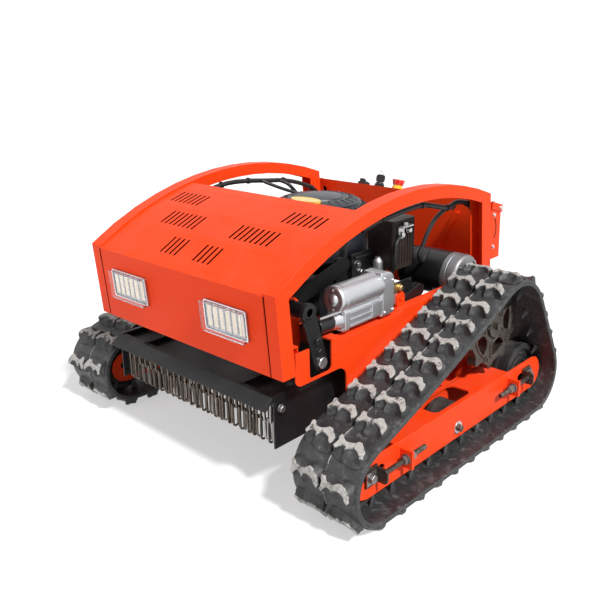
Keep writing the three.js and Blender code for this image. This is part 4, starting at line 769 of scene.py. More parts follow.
ROUNDED = {
    "arch": 1.6, "side_plate": 1.2, "track_beam": 1.2, "tie_rod": 1.0, "rear_crank": 1.0,
    "lift_lever": 1.2, "gearbox": 1.5, "front_tensioner": 0.8, "rear_tensioner": 0.8, "sprocket": 1.6,
}
ROUNDED_ALONE = {
    "front_crossmember": 1.0, "rear_crossmember": 1.0, "control_box": 1.2,
    "control_box_lid": 1.2, "lift_shaft": 1.0, "cutter_deck": 1.0, "battery": 2.0,
    "engine_block": 1.2, "muffler": 1.0, "air_cleaner": 2.0, "blade": 0.8,
    "receiver_unit": 1.5, "key": 0.5, "rocker": 0.8, "rocker_bezel": 0.6, "actuator_rod": 0.8,
}


def round_model_pieces():
    for node, width in ROUNDED_ALONE.items():
        softened(node, width)
    for node, width in ROUNDED.items():
        for side, _ in SIDES:
            softened(f"{node}_{side}", width)


# Rubber tracks

BELT_THICK = 12
LUG_LENGTH = 34
LUG_HEIGHT = 18
LUG_CENTRE = 42.5
GUIDE_X = 34.9
BELT_STEPS = 4
TRACK_CENTRE = 454.5


def belt_folds():
    """The fold lines of the left belt's model solid, as (inner, outer) pairs in order."""
    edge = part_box("track_left")[1].x
    seen = {}
    for vertex in nodes["track_left"].data.vertices:
        if abs(vertex.co.x - edge) < 1e-6:
            seen[(round(vertex.co.y, 6), round(vertex.co.z, 6))] = Vector((0, vertex.co.y, vertex.co.z))
    points = list(seen.values())
    middle = sum(points, Vector()) / len(points)
    pairs = []
    for a in points:
        b = min((p for p in points if p is not a), key=lambda p: (p - a).length)
        inner, outer = sorted((a, b), key=lambda p: (p - middle).length)
        if inner is a:
            pairs.append((inner, outer))
    return sorted(pairs, key=lambda pair: math.atan2(*(pair[0] - middle).zy))


def belt_place(folds, i, share, height):
    """A point of the smooth belt near fold i, so many millimetres above its inner face."""
    def corner(k):
        inner, outer = folds[k % len(folds)]
        return inner.lerp(outer, height / BELT_THICK)
    before = (corner(i - 1) + corner(i)) / 2
    after = (corner(i) + corner(i + 1)) / 2
    return before.lerp(corner(i), share).lerp(corner(i).lerp(after, share), share)


def belt_section():
    """Points round the belt with their wear: two fine lines on its edges, a mould line on top."""
    edge = [(88, 12, 0.3), (90, 10.6, 0.2), (90, 8.6, 0), (89, 8.2, 0), (90, 7.8, 0), (90, 4.6, 0),
            (89, 4.2, 0), (90, 3.8, 0), (90, 1.4, 0), (88.6, 0, 0)]
    left = [(-x, h, w) for x, h, w in reversed(edge)]
    top = [(-60, 11.6, 0), (-42, 11.2, 0), (-20, 11.4, 0), (-2.2, 12, 0), (-0.9, 13, 0.78),
           (0.9, 13, 0.78), (2.2, 12, 0), (20, 11.4, 0), (42, 11.2, 0), (60, 11.6, 0)]
    bottom = [(48, 0, 0), (0, 0, 0), (-48, 0, 0)]
    return left + top + edge + bottom


def smooth_belt(folds, centre_x):
    """The belt itself: a ring whose sections are laid on the folds' smooth line."""
    section = belt_section()
    rings = len(folds) * BELT_STEPS
    belt = started(bpy.ops.mesh.primitive_torus_add, major_segments=rings, minor_segments=len(section))
    worn = belt.data.attributes.new("worn", "FLOAT", "POINT")
    along = belt.data.attributes.new("along", "FLOAT", "POINT")
    for ring in range(rings):
        i, step = divmod(ring, BELT_STEPS)
        sway = math.sin(ring * 0.8) * 1.2
        for k, (x, height, wear) in enumerate(section):
            number = ring * len(section) + k
            place = belt_place(folds, i, step / BELT_STEPS, height)
            aside = x + (sway if abs(x) < 3 else 0)
            belt.data.vertices[number].co = ((centre_x + aside) * MM, place.y, place.z)
            worn.data[number].value = wear
            along.data[number].value = ring
    return face_out(belt)


# A lug's outline: the place across and along at its crest, the same at its foot, and how its
# wall runs between them: under 1 it is scooped out, and above 1 it stands out as a rib
LUG_POINTS = (
    (-38, 12, -41, 20, 0.9), (-37, 18, -39, 24, 0.9), (-31, 18, -32, 24, 0.7), (-25, 10, -23, 22, 0.6),
    (-15, 7, -13, 22, 0.5), (-5, 8, -4, 22, 0.5), (4, 11.5, 5, 22, 0.6), (11, 17, 12, 24, 0.7),
    (18, 17, 21, 24, 0.7), (25, 10, 30, 22, 0.7), (32, 4.5, 37, 19, 0.8), (38, -3, 41, 6, 0.8),
    (40, -13, 42, -12, 1.0), (37, -18, 39, -24, 1.0), (31, -14, 33, -30, 0.5), (25, -6, 25, -32, 0.26),
    (16, -1.5, 16, -33, 0.2), (7, 0, 7, -32, 0.22), (0, -1.5, 0, -29, 0.34), (-4, -4, -5, -28, 0.8),
    (-7, -8, -9, -28, 1.7), (-10, -4, -12, -28, 0.8), (-16, -1.5, -17, -27, 0.3), (-22, -2, -23, -27, 0.24),
    (-28, -8, -29, -26, 0.4), (-33, -14, -35, -24, 1.0), (-38, -11, -40, -18, 1.0), (-36, -2, -41, -6, 0.8),
    (-35, 5, -41, 8, 0.8),
)
# A lug's levels: height, share of the way up, how rough it is, and how rubbed
LUG_LEVELS = (
    (-4.0, 0.0, 0.0, 0.0),
    (1.0, 0.07, 0.4, 0.0),
    (5.0, 0.28, 0.7, 0.0),
    (9.5, 0.53, 1.1, 0.15),
    (14.0, 0.79, 1.5, 0.5),
    (17.0, 0.97, 1.5, 0.97),
    (17.7, 1.05, 0.6, 1.0),
)
LUG_LAG = 6


def one_lug(chance):
    """One lug at the origin: a ring extruded up level by level, each drawn to its outline."""
    count = len(LUG_POINTS)
    lug = opened(started(bpy.ops.mesh.primitive_circle_add, vertices=count, radius=1, fill_type="NGON"))
    for _ in LUG_LEVELS[1:]:
        bpy.ops.mesh.extrude_edges_move(TRANSFORM_OT_translate={"value": (0, 0, 1)})
    bpy.ops.mesh.edge_face_add()
    closed(lug)
    worn = lug.data.attributes.new("worn", "FLOAT", "POINT")
    outlines = []
    for height, share, rough, _ in LUG_LEVELS:
        outline = []
        for top_x, top_y, foot_x, foot_y, bend in LUG_POINTS:
            up = share ** bend
            outline.append((foot_x + (top_x - foot_x) * up + chance.uniform(-rough, rough),
                            foot_y + (top_y - foot_y) * up + chance.uniform(-rough, rough),
                            height - chance.uniform(0, rough)))
        outlines.append(outline)
    for vertex, wear in zip(lug.data.vertices, worn.data):
        level = round(vertex.co.z)
        turn = round(math.atan2(vertex.co.x, vertex.co.y) / math.tau * count) % count
        vertex.co = Vector(outlines[level][turn]) * MM
        wear.value = min(1.0, LUG_LEVELS[level][3] * chance.uniform(0.85, 1.1))
    return face_out(lug)


def flat_frames(folds, height):
    """Where each lug or tooth sits: the middle of each flat, with its own axes."""
    frames = []
    for i in range(len(folds)):
        a, b = (folds[k % len(folds)] for k in (i, i + 1))
        start, end = (pair[0].lerp(pair[1], height / BELT_THICK) for pair in (a, b))
        along = (end - start).normalized()
        across = Vector((1, 0, 0))
        outward = across.cross(along)
        if outward.dot(a[1] - a[0]) < 0:
            outward, along = -outward, -along
        turn = Matrix((across, along, outward)).transposed().to_4x4()
        frames.append(Matrix.Translation((start + end) / 2) @ turn)
    return frames


def lug_side(place):
    """Which column of the model's belt has its lug on this flat: +1 outwards, -1 inwards."""
    back = place.inverted()
    sum_x = 0.0
    for vertex in nodes["track_left"].data.vertices:
        local = back @ vertex.co
        if abs(local.y) < LUG_LENGTH * MM / 2 and abs(local.z - LUG_HEIGHT * MM) < MM:
            sum_x += local.x - TRACK_CENTRE * MM
    return 1 if sum_x > 0 else -1


def guide_tooth():
    """A pointed guide tooth with a broad foot, its tip up."""
    tooth = settle(started(bpy.ops.mesh.primitive_cone_add, vertices=8, radius1=0.5, radius2=0.16, depth=1,
                           location=(0, 0, 0.5)))
    tooth.data.transform(Matrix.Diagonal((9.2 * MM, 27 * MM, 27 * MM, 1)))
    tooth.data.transform(Matrix.Translation((0, 0, -2 * MM)))
    return round_edges(tooth, 1.0, 1, 50)


def make_tracks():
    folds = belt_folds()
    chance = random.Random(7)
    belt = smooth_belt(folds, TRACK_CENTRE)
    outer_frames = flat_frames(folds, BELT_THICK)
    sides = [lug_side(place) for place in outer_frames]
    parts = [belt]
    for place in (p for p, side in zip(outer_frames, sides) if side < 0):
        for across, lag in ((-LUG_CENTRE, 0), (LUG_CENTRE, -LUG_LAG)):
            lug = one_lug(chance)
            lug.data.transform(place @ Matrix.Translation(((TRACK_CENTRE + across) * MM, lag * MM, 0)))
            parts.append(lug)
    tooth = guide_tooth()
    point_in = Matrix.Rotation(math.pi, 4, "Y")
    for place, side in zip(flat_frames(folds, 0), sides):
        for x in (-GUIDE_X, GUIDE_X) if side > 0 else ():
            across = Matrix.Translation(((TRACK_CENTRE + x) * MM, 0, 0))
            parts.append(copied(tooth, place @ across @ point_in))
    bpy.data.objects.remove(tooth)
    left = joined("tread_left", parts)
    shade(left, 40, False)
    right = mirrored(left, "tread_right")
    dress(left, body_of["track_left"], TREAD_RUBBER, "track_left")
    dress(right, body_of["track_right"], TREAD_RUBBER, "track_right")


# Wheels, sprockets and tensioners

IDLER_Y = {"front_idler": 108, "rear_idler": 802}
IDLER_Z = 114
IDLER_RADIUS = 81.6
ROAD_WHEEL_PLACE = (455, 90)
ROAD_WHEEL_RADIUS = 57.6
SPROCKET_PLACE = (662, 289)
SPROCKET_FACE = 13


def wheel(radius, half, place):
    """A rubber-tyred wheel with a ribbed dish and a bore, for the left side."""
    y, z = place
    face = [(half, 9), (half, 17), (half - 2, 18), (half - 9, 20), (half - 10, radius * 0.40),
            (half - 8, radius * 0.41), (half - 8, radius * 0.46), (half - 10, radius * 0.47),
            (half - 11, radius * 0.58), (half - 9, radius * 0.59), (half - 9, radius * 0.64),
            (half - 11, radius * 0.65), (half - 10, radius * 0.76), (half - 4, radius * 0.79),
            (half - 1, radius * 0.82), (half, radius * 0.86), (half - 0.6, radius * 0.95),
            (half - 3, radius), (9, radius), (8, radius - 2.2)]
    profile = face + [(-x, r) for x, r in reversed(face)] + [face[0]]
    return turned(profile, (TRACK_CENTRE, y, z), "x", 64)


def make_wheels():
    sizes = {node: (IDLER_RADIUS, 28, (y, IDLER_Z)) for node, y in IDLER_Y.items()}
    sizes["road_wheel"] = (ROAD_WHEEL_RADIUS, 26, ROAD_WHEEL_PLACE)
    for node, size in sizes.items():
        node += "_{}"
        on_both_sides(node + "_wheel", [wheel(*size)], node, PLAIN_RUBBER, node)


def make_sprocket_rims():
    """Raised rims round the sprocket's windows, a hub ring and its bolts."""
    face = TRACK_CENTRE + SPROCKET_FACE
    parts = []
    for i in range(5):
        middle = i * math.tau / 5
        around = [(86, s) for s in (-24, -14, 0, 14, 24)]
        around += [(60, 26), (46, 16), (43, 0), (46, -16), (60, -26)]
        route = [(face, *round_about(SPROCKET_PLACE, r, middle + math.radians(s))) for r, s in around]
        parts.append(tube(route, 4.0, 5, closed_loop=True, sides=2))
        bar = middle + math.tau / 10
        parts.append(bolt((face, *round_about(SPROCKET_PLACE, 27, bar)), "x", 9, 6, 0))
        parts.append(turned([(-1, 11), (2.5, 11), (3.2, 9), (2.5, 6), (-1, 6), (-1, 11)],
                            (face, *round_about(SPROCKET_PLACE, 95, bar)), "x", 14))
    parts.append(turned([(-2, 44), (3, 43), (4, 40), (3, 37), (-2, 36), (-2, 44)],
                        (face, *SPROCKET_PLACE), "x", 40))
    on_both_sides("sprocket_rims_{}", parts, "sprocket_{}", OILED_IRON)


BEAM_FACE = 498.5
ROD_X = 515.5
THREAD_PITCH = 2
# Each tensioner: its axle, its tab, and which way it pushes
TABS = {"front": (108, 222, 1), "rear": (802, 700, -1)}


def make_track_fasteners():
    for end, (axle_y, tab_y, towards) in TABS.items():
        parts = [bolt((ROD_X, tab_y + way * 4, IDLER_Z), (0, way, 0), 19, 10, 13) for way in (-1, 1)]
        parts += [
            bolt((ROD_X, tab_y + towards * 17, IDLER_Z), (0, towards, 0), 18, 8, 0),
            slab((BEAM_FACE + 6, axle_y - 15, IDLER_Z - 15), (BEAM_FACE + 9, axle_y + 15, IDLER_Z + 15)),
            bolt((BEAM_FACE + 9, axle_y, IDLER_Z), "x", 19, 9, 0),
        ]
        start, stop = tab_y + towards * 22, tab_y + towards * 70
        profile = [(start, 0)]
        for at in range(start, stop, towards * THREAD_PITCH):
            profile += [(at, 6.3), (at + towards, 5.4)]
        profile += [(stop, 5.4), (stop, 0)]
        thread = turned(profile, (ROD_X, 0, IDLER_Z), "y", 20)
        body = end + "_tensioner"
        on_both_sides(body + "_nuts_{}", parts, body + "_{}", DULL_ZINC)
        on_both_sides(body + "_thread_{}", [thread], body + "_{}", OILED_IRON)
    washer = turned([(-0.5, 0), (-0.5, 16), (2, 16), (2.6, 15.4), (2.6, 0)],
                    (BEAM_FACE, *ROAD_WHEEL_PLACE), "x", 32)
    on_both_sides("axle_washer_{}", [washer], "chassis", ZINC)
    axle_bolt = bolt((BEAM_FACE + 2.6, *ROAD_WHEEL_PLACE), "x", 17, 10, 0)
    on_both_sides("axle_bolt_{}", [axle_bolt], "chassis", OILED_IRON)


# Drive motors and the lift actuator

def make_motors():
    axis_start = (0, MOTOR_AXIS_Y, MOTOR_AXIS_Z)
    can = turned([
        (160, 0), (160, 38), (161, 40), (163, 54), (166, 58), (170, 59.5), (176, 59.5), (177, 57.5),
        (180, 57.5), (181, 59.5), (186, 60), (187, 61.6), (190, 62), (198, 62), (199, 60.8), (201, 60.8),
        (202, 62), (306, 62), (307, 60.5), (307, 0),
    ], axis_start, "x", 72)
    cap = turned([
        (307.5, 0), (307.5, 60.5), (308.5, 62), (322, 62), (323, 61), (325, 61), (326, 62), (344, 62),
        (350, 60.5), (354, 57), (356, 50), (356, 0),
    ], axis_start, "x", 72)
    studs = [bolt((356, *round_about(axis_start[1:], 50, a)), "x", 8, 4, 0) for a in (0.8, 2.4, 3.9, 5.5)]
    on_both_sides("motor_can_{}", [can], "chassis", MOTOR_ENAMEL, "drive_motor_{}")
    on_both_sides("motor_cap_{}", [cap, *studs], "chassis", CAST_GREY)


def make_actuator():
    """Motor tube with a domed end over a stepped extrusion, both in a rounded gear housing."""
    x, tube_z, ram_z = 311, 442, 392
    motor = turned([
        (202.4, 0), (202.8, 5), (204.4, 9.6), (207.2, 13), (210.4, 14.6), (211, 16), (209.8, 18),
        (209.4, 26), (210, 29.4), (211.5, 31.6), (215, 32.8), (226, 32.8), (226.8, 31.6),
        (228.4, 31.6), (229.2, 32.6), (360, 32.6), (360, 0),
    ], (x, 0, tube_z), "y", 64)
    housing = plate([
        (352, 366), (398, 366), (404, 372), (404, 452), (401, 463), (393, 471), (382, 475), (352, 476),
    ], "x", x - 28, x + 28)
    round_edges(housing, 5, 3, 25)
    cover = plate([
        (357, 372), (396, 372), (399, 375), (399, 448), (396, 459), (388, 466), (380, 469), (357, 470),
    ], "x", x + 27, x + 30)
    round_edges(cover, 1.2, 2, 40)
    low_block = rounded_slab((x - 24, 236, 368), (x + 24, 360, 416), 7, "y")
    ribs = [
        eased_slab((x + 22, 240, z), (x + 27, 352, z + 5), 1.2) for z in (373, 388, 404)
    ]
    step = eased_slab((x + 20, 318, 376), (x + 29, 356, 412), 2.5)
    flange = rounded_slab((x - 27, 222, 365), (x + 27, 238, 419), 9, "y", 4, 1.0)
    nose = turned([(197, 0), (197, 17), (199, 20), (210, 21.5), (216, 23.5), (224, 24), (224, 0)],
                  (x, 0, ram_z), "y", 40)
    saddle = rounded_slab((x - 18, 236, 408), (x + 18, 352, 424), 5, "y")
    eye = rounded_slab((x - 12, 400, 378), (x + 12, 452, 406), 10, "x", 5)
    finished("actuator_casing", [motor, housing, cover, low_block, *ribs, step, flange, nose, saddle, eye],
             "chassis", CAST_SILVER, "actuator_body")
    studs = [bolt((x + u, 222, ram_z + v), (0, -1, 0), 8, 6, 0) for u in (-20, 20) for v in (-20, 20)]
    studs += [bolt((x + u, 209.4, tube_z + v), (0, -1, 0), 6, 3, 0) for u, v in ((0, 23), (0, -23))]
    studs += [bolt((x + 30, y, z), "x", 6, 3, 0)
              for y, z in ((362, 377), (362, 462), (394, 377), (393, 452))]
    studs.append(tube([(x + 20, 143, 419), (x + 20, 168, 418.5), (x + 20, 222, 417)], 3.2, 30))
    finished("actuator_bolts", studs, "chassis", ZINC)
    cuff = turned([(153, 12.6), (153, 18), (155, 19.4), (193, 19.8), (195, 18.5), (195, 12.6),
                   (153, 12.6)], (x, 0, ram_z), "y", 40)
    finished("ram_sleeve", [cuff], "actuator_rod", MOTOR_ENAMEL, slot="dark_rubber")
    clevis = [
        rounded_slab((296, 412, 410), (328, 446, 428), 4, "x", 3, 0.8),
        bolt((328, 438, 419), "x", 12, 7, 8),
    ]
    finished("brass_clevis", clevis, "chassis", GOLD_ZINC)


# Engine details

ENGINE_Y = 500
BADGE_PLACE = (26, 424)


def cowl_vanes(count, size, lean, twist, height):
    """Leaning vanes round the cowl, from one that is sized by its reach, half width and height."""
    near, far, half, tall = size
    vane = slab((near, -half, 0), (far, half, tall))
    about = Matrix.Translation(((near + far) / 2 * MM, 0, tall / 2 * MM))
    turn = Matrix.Rotation(math.radians(lean), 4, "Y") @ Matrix.Rotation(twist, 4, "Z")
    vane.data.transform(about @ turn @ about.inverted() @ TO_ZERO)
    middle = Matrix.Translation(spot(0, ENGINE_Y, height))
    vanes = [copied(vane, middle @ Matrix.Rotation(i * math.tau / count, 4, "Z")) for i in range(count)]
    bpy.data.objects.remove(vane)
    return vanes


def make_engine():
    """Round cowl with a vented shoulder and a bare oval plate, and what hangs on the engine."""
    shell = turned([
        (440, 0), (440, 138), (442, 143), (448, 147), (452, 147), (453, 145), (456, 145), (457, 147),
        (540, 147), (548, 146), (560, 142), (572, 134), (580, 125), (584, 118), (586, 116), (588, 118),
        (592, 112), (597, 98), (600, 84), (600.6, 78), (598.5, 76), (598.5, 70), (601.5, 68), (604, 52),
        (606, 30), (606, 0),
    ], (0, ENGINE_Y, 0), "z", 96)
    vanes = cowl_vanes(44, (118, 142, 2, 5), 33, 0.5, 574) + cowl_vanes(26, (84, 110, 1.6, 4), 18, 0, 594)
    finished("cowl_shell", [shell, *vanes], "deck", COWL_PLASTIC, "engine_cowl")
    oval = plate([round_about(BADGE_PLACE, 50, k * math.tau / 40, 25) for k in range(40)], "z", 600, 606.5)
    pocket(oval, AXES["z"], 2.4, 0.8)
    round_edges(oval, 0.5, 1, 40)
    finished("cowl_badge", [oval], "deck", BADGE_YELLOW)

    side_plate = rounded_slab((166, 440, 412), (173, 524, 476), 5, "x", 3, 0.8)
    lip = eased_slab((172, 446, 462), (180, 518, 469), 1.5)
    foot = slab((158, 456, 416), (168, 512, 438))
    finished("engine_side_plate", [side_plate, lip, foot], "deck", GREY_IRON)
    studs = [bolt((173, 458, 446), "x", 15, 9, 11), bolt((173, 470, 424), "x", 12, 8, 8)]
    finished("side_plate_bolts", studs, "deck", ZINC)
    canister = turned([(402, 0), (402, 10), (405, 13), (446, 14), (452, 12.5), (455, 9), (460, 8),
                       (460, 0)], (202, 511, 0), "z", 28)
    strap = eased_slab((170, 506, 420), (202, 516, 426), 0.8, 1)
    finished("fuel_filter", [canister, strap], "deck", CAST_SILVER)
    hose = tube([(140, 446, 506), (168, 430, 504), (180, 404, 486), (182, 391, 453), (181, 400, 419),
                 (180, 428, 402), (180, 470, 397), (174, 505, 400), (158, 520, 404)], 6.5, 6, 0.06)
    lead = tube([(206, 522, 404), (224, 520, 410), (246, 524, 430), (248, 524, 470), (248, 530, 500),
                 (246, 548, 514)], 4.2, 12)
    finished("engine_hoses", [hose, lead], "deck", SLEEVE_RUBBER)
    clips = [
        eased_slab((240, 544, 538), (258, 592, 542), 1.2),
        eased_slab((239.5, 548, 506), (243, 572, 540), 1.0, 1),
        bolt((243, 556, 518), "x", 13, 8, 9), bolt((243, 586, 526), "x", 12, 9, 8),
        bolt((249, 568, 542), "z", 11, 6, 8),
    ]
    finished("exhaust_clips", clips, "deck", ZINC)
    cheek = rounded_slab((128, 262, 352), (172, 300, 452), 5, "x", 3, 1.0)
    finished("battery_cheek", [cheek], "chassis", MOULDED_PLASTIC)


# Head lamps

LAMP_X = 183
LAMP_TILT = math.atan2(15, 186)
LAMP_CELLS = 6
CELL_PITCH = 21
LAMP_FRONT = Vector((0, -1, 0))


def lamp_box(low, high, radius, edge):
    """A rounded box in the lamp's own millimetres: X across, Y back, Z up."""
    obj = rounded_slab(low, high, radius, "y", 4, edge)
    obj.data.transform(TO_ZERO)
    return obj


def lamp_screw(x, z):
    screw = turned([(0, 0), (0, 2.8), (1.2, 2.8), (1.8, 1.6), (1.8, 0)], (x, -5.6, z), LAMP_FRONT, 14)
    screw.data.transform(TO_ZERO)
    return screw


def make_lamps():
    for name, side in SIDES:
        low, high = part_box(f"headlamp_housing_{name}")
        middle = (side * LAMP_X * MM, high.y - 37 * MM * math.sin(LAMP_TILT), (low.z + high.z) / 2)
        on_panel = Matrix.Translation(middle) @ Matrix.Rotation(LAMP_TILT, 4, "X")
        tray = lamp_box((-71, -7, -37), (71, 0, 37), 6, 0.6)
        pocket(tray, LAMP_FRONT, 4, 4)
        cells, strips = [], []
        for i in range(LAMP_CELLS):
            x = (i - (LAMP_CELLS - 1) / 2) * CELL_PITCH
            cell = lamp_box((x - 9.4, -6, -29), (x + 9.4, -2, 29), 2.5, 0.5)
            cells.append(pocket(cell, LAMP_FRONT, 2.2, 1.5))
            strips.append(lamp_box((x - 6.4, -6.3, -25), (x + 6.4, -4, 25), 1.5, 0.4))
        screws = [lamp_screw(x, z) for x in (-66, 66) for z in (-33, 33)]
        cover = lamp_box((-71, -19.8, -37), (71, -7.2, 37), 6, 0.9)
        pocket(cover, -LAMP_FRONT, 2.2, 10.4)
        for kind, parts, finish, stands_for in (
            ("tray", [tray, *cells], LAMP_SILVER, [f"headlamp_housing_{name}"]),
            ("strips", strips, WARM_STRIP, []),
            ("cover", [cover], LAMP_COVER, [f"headlamp_lens_{name}"]),
            ("screws", screws, ZINC, []),
        ):
            whole = joined(kind, parts)
            whole.data.transform(on_panel)
            finished(f"lamp_{kind}_{name}", [whole], "chassis", finish, *stands_for)


# Controls on the lid

LID_NORMAL = (0, 16, 54)
LID_MIDDLE = (877, 564.3)
STOP_X = -12
KEY_X = -84
AERIAL_X = 34
BOX_SIDE = 338


def on_lid(x, height=0.0):
    """A place on the sloping lid, so many millimetres above it."""
    lift = Vector(LID_NORMAL).normalized() * height
    y, z = LID_MIDDLE
    return (x, y + lift.y, z + lift.z)


def make_controls():
    base = turned([(0.2, 10), (0.2, 17), (1.5, 17.4), (6, 17.2), (7.2, 15.4), (13.8, 14.9), (14.5, 13.6),
                   (14.5, 10), (0.2, 10)], on_lid(STOP_X), LID_NORMAL, 40)
    finished("stop_ring", [base], "chassis", STOP_YELLOW, "e_stop_base")
    head = turned([
        (-2, 0), (-2, 9), (20, 9), (20, 15.6), (13, 15.6), (13, 17), (18, 17.8), (24, 19.4), (27.6, 20),
        (29.2, 19.2), (29.6, 17), (28.8, 13), (28.4, 0),
    ], on_lid(STOP_X), LID_NORMAL, 40)
    finished("stop_head", [head], "e_stop_button", STOP_RED, "e_stop_button")
    barrel = turned([
        (0.2, 4.8), (0.2, 17), (3, 17), (3.6, 14.6), (4.4, 14.6), (5, 16), (8, 16), (9, 13.4),
        (12.6, 12.6), (14, 11), (14, 4.8), (0.2, 4.8),
    ], on_lid(KEY_X), LID_NORMAL, 32)
    finished("key_barrel", [barrel], "chassis", MOULDED_PLASTIC, "key_switch")
    bow = [on_lid(*round_about((KEY_X, 44), 8, k * math.tau / 10, 6)) for k in range(10)]
    finished("key_ring", [tube(bow, 1.3, 3, closed_loop=True, sides=2)], "key", ZINC)
    knob = turned([(0.2, 0), (0.2, 13), (3, 13.6), (6, 12.6), (8.4, 9), (9.2, 4), (9.2, 0)],
                  on_lid(AERIAL_X), LID_NORMAL, 28)
    finished("aerial_cap", [knob], "chassis", MOULDED_PLASTIC)
    screws, grips = [], []
    for side in (-1, 1):
        for y, z, out in ((866, 532, 0), (866, 439, 0), (896, 548, 3.4)):
            screws.append(bolt((side * (BOX_SIDE + out), y, z), (side, 0, 0), 8, 3, 6, 12))
        screws.append(bolt((side * 330, 875, 565.1), LID_NORMAL, 7, 2.4, 5, 12))
        bow = ((872, 520), (879, 505), (880, 480), (873, 462))
        grips.append(tube([(side * (BOX_SIDE + 0.4), y, z) for y, z in bow], 1.6, 5, sides=2))
    finished("box_screws", screws, "chassis", ZINC)
    finished("box_grip_slots", grips, "chassis", MOULDED_PLASTIC)


# Wiring under the arches

LEFT_LOOM = [
    (330, 580), (407, 592), (508, 600), (572, 601), (627, 590), (689, 576), (737, 583), (788, 572),
    (816, 547), (829, 516), (832, 480), (833, 440),
]
RIGHT_LOOM = [
    (330, 600), (406, 612), (452, 614), (511, 610), (594, 600), (659, 592), (726, 575), (787, 550),
    (822, 520), (832, 480), (833, 440),
]


LOOM_X = 296.7
SLEEVE_PITCH = 2.6
SLEEVE_RIB = 0.13
BRANCHES = (
    (6.2, [(290, 700, 574), (284, 675, 560), (276, 657, 541), (270, 635, 507), (266, 622, 476),
           (262, 612, 452), (256, 640, 430), (240, 690, 446)]),
    (6.5, [(292, 729, 579), (282, 742, 568), (272, 752, 562)]),
    (6.0, [(-292, 640, 594), (-276, 652, 586), (-266, 664, 572), (-262, 682, 548), (-258, 700, 500),
           (-240, 700, 446)]),
    (5.5, [(-292, 560, 605), (-270, 585, 590), (-240, 640, 565), (-200, 720, 540), (-150, 846, 520)]),
)


def sleeve(route, radius):
    """A ribbed wiring sleeve."""
    return tube(route, radius, SLEEVE_PITCH, SLEEVE_RIB)


def make_looms():
    """The sleeves under the arches, their branches and the straps that hold them."""
    straps = []
    for (name, side), line in zip(SIDES, (LEFT_LOOM, RIGHT_LOOM)):
        loom = sleeve([(side * LOOM_X, y, z) for y, z in line], 7.2)
        finished(f"loom_{name}", [loom], "chassis", SLEEVE_RUBBER, f"wiring_loom_{name}", angle=60)
        near, far = sorted((side * 296, side * 304))
        for y, z in line[1:8:2]:
            straps.append(turned([(-4, 7.4), (-4, 8.8), (4, 8.8), (4, 7.4), (-4, 7.4)],
                                 (side * LOOM_X, y, z), "y", 20))
            straps.append(eased_slab((near, y - 4, z + 6), (far, y + 4, z + 9), 0.6, 1))
    branches = [sleeve(route, radius) for radius, route in BRANCHES]
    finished("loom_branches", branches, "chassis", SLEEVE_RUBBER, angle=60)
    finished("loom_straps", straps, "chassis", MOULDED_PLASTIC)


# Small parts on the frame, lift and deck

# Each pair of slot groups: its place from the middle, how many slots, and where they start
SLOT_GROUPS = ((62, 4, 33), (133, 8, 115), (212, 7, 201))
SLOT_PITCH = 17.7
SLOT_LENGTH = 50
PANEL_TOP = 504
LIFT_PIVOT = (107, 445)
LEVER_PIN = (146, 317)
LEVER_FACE = 332
SEAM_X = 308
SEAM_ENDS = (319, 503)


def painted_slot_shade():
    """A dark strip in each slot of the hood, level with its skin, on a screen under each group: painted
    shade for the dark space under the hood.
    """
    hood = nodes["hood"].data
    skin = BVHTree.FromPolygons([v.co for v in hood.vertices], [p.vertices for p in hood.polygons])
    screens = []
    for centre, count, start in SLOT_GROUPS:
        tops = []
        for k in range(7):
            y = start + 0.3 + (SLOT_LENGTH - 0.6) * k / 6
            above = spot(centre + (count % 2) * SLOT_PITCH / 2, y, 900)
            hit = skin.ray_cast(above, -AXES["z"])[0]
            tops.append((y, hit.z / MM))
        under = [(y, z - 6) for y, z in reversed(tops)]
        strip, sheet = ([(y, z + rise) for y, z in tops] + under for rise in (0.15, -4))
        half = count * SLOT_PITCH / 2
        for side in (-1, 1):
            screens.append(plate(sheet, "x", side * centre - half, side * centre + half))
            for i in range(count):
                x = side * centre + (i - (count - 1) / 2) * SLOT_PITCH
                screens.append(plate(strip, "x", x - 3, x + 3))
    return screens


def front_y(z):
    """How far back the leaning front panel lies at a height."""
    return math.tan(LAMP_TILT) * (PANEL_TOP - z)


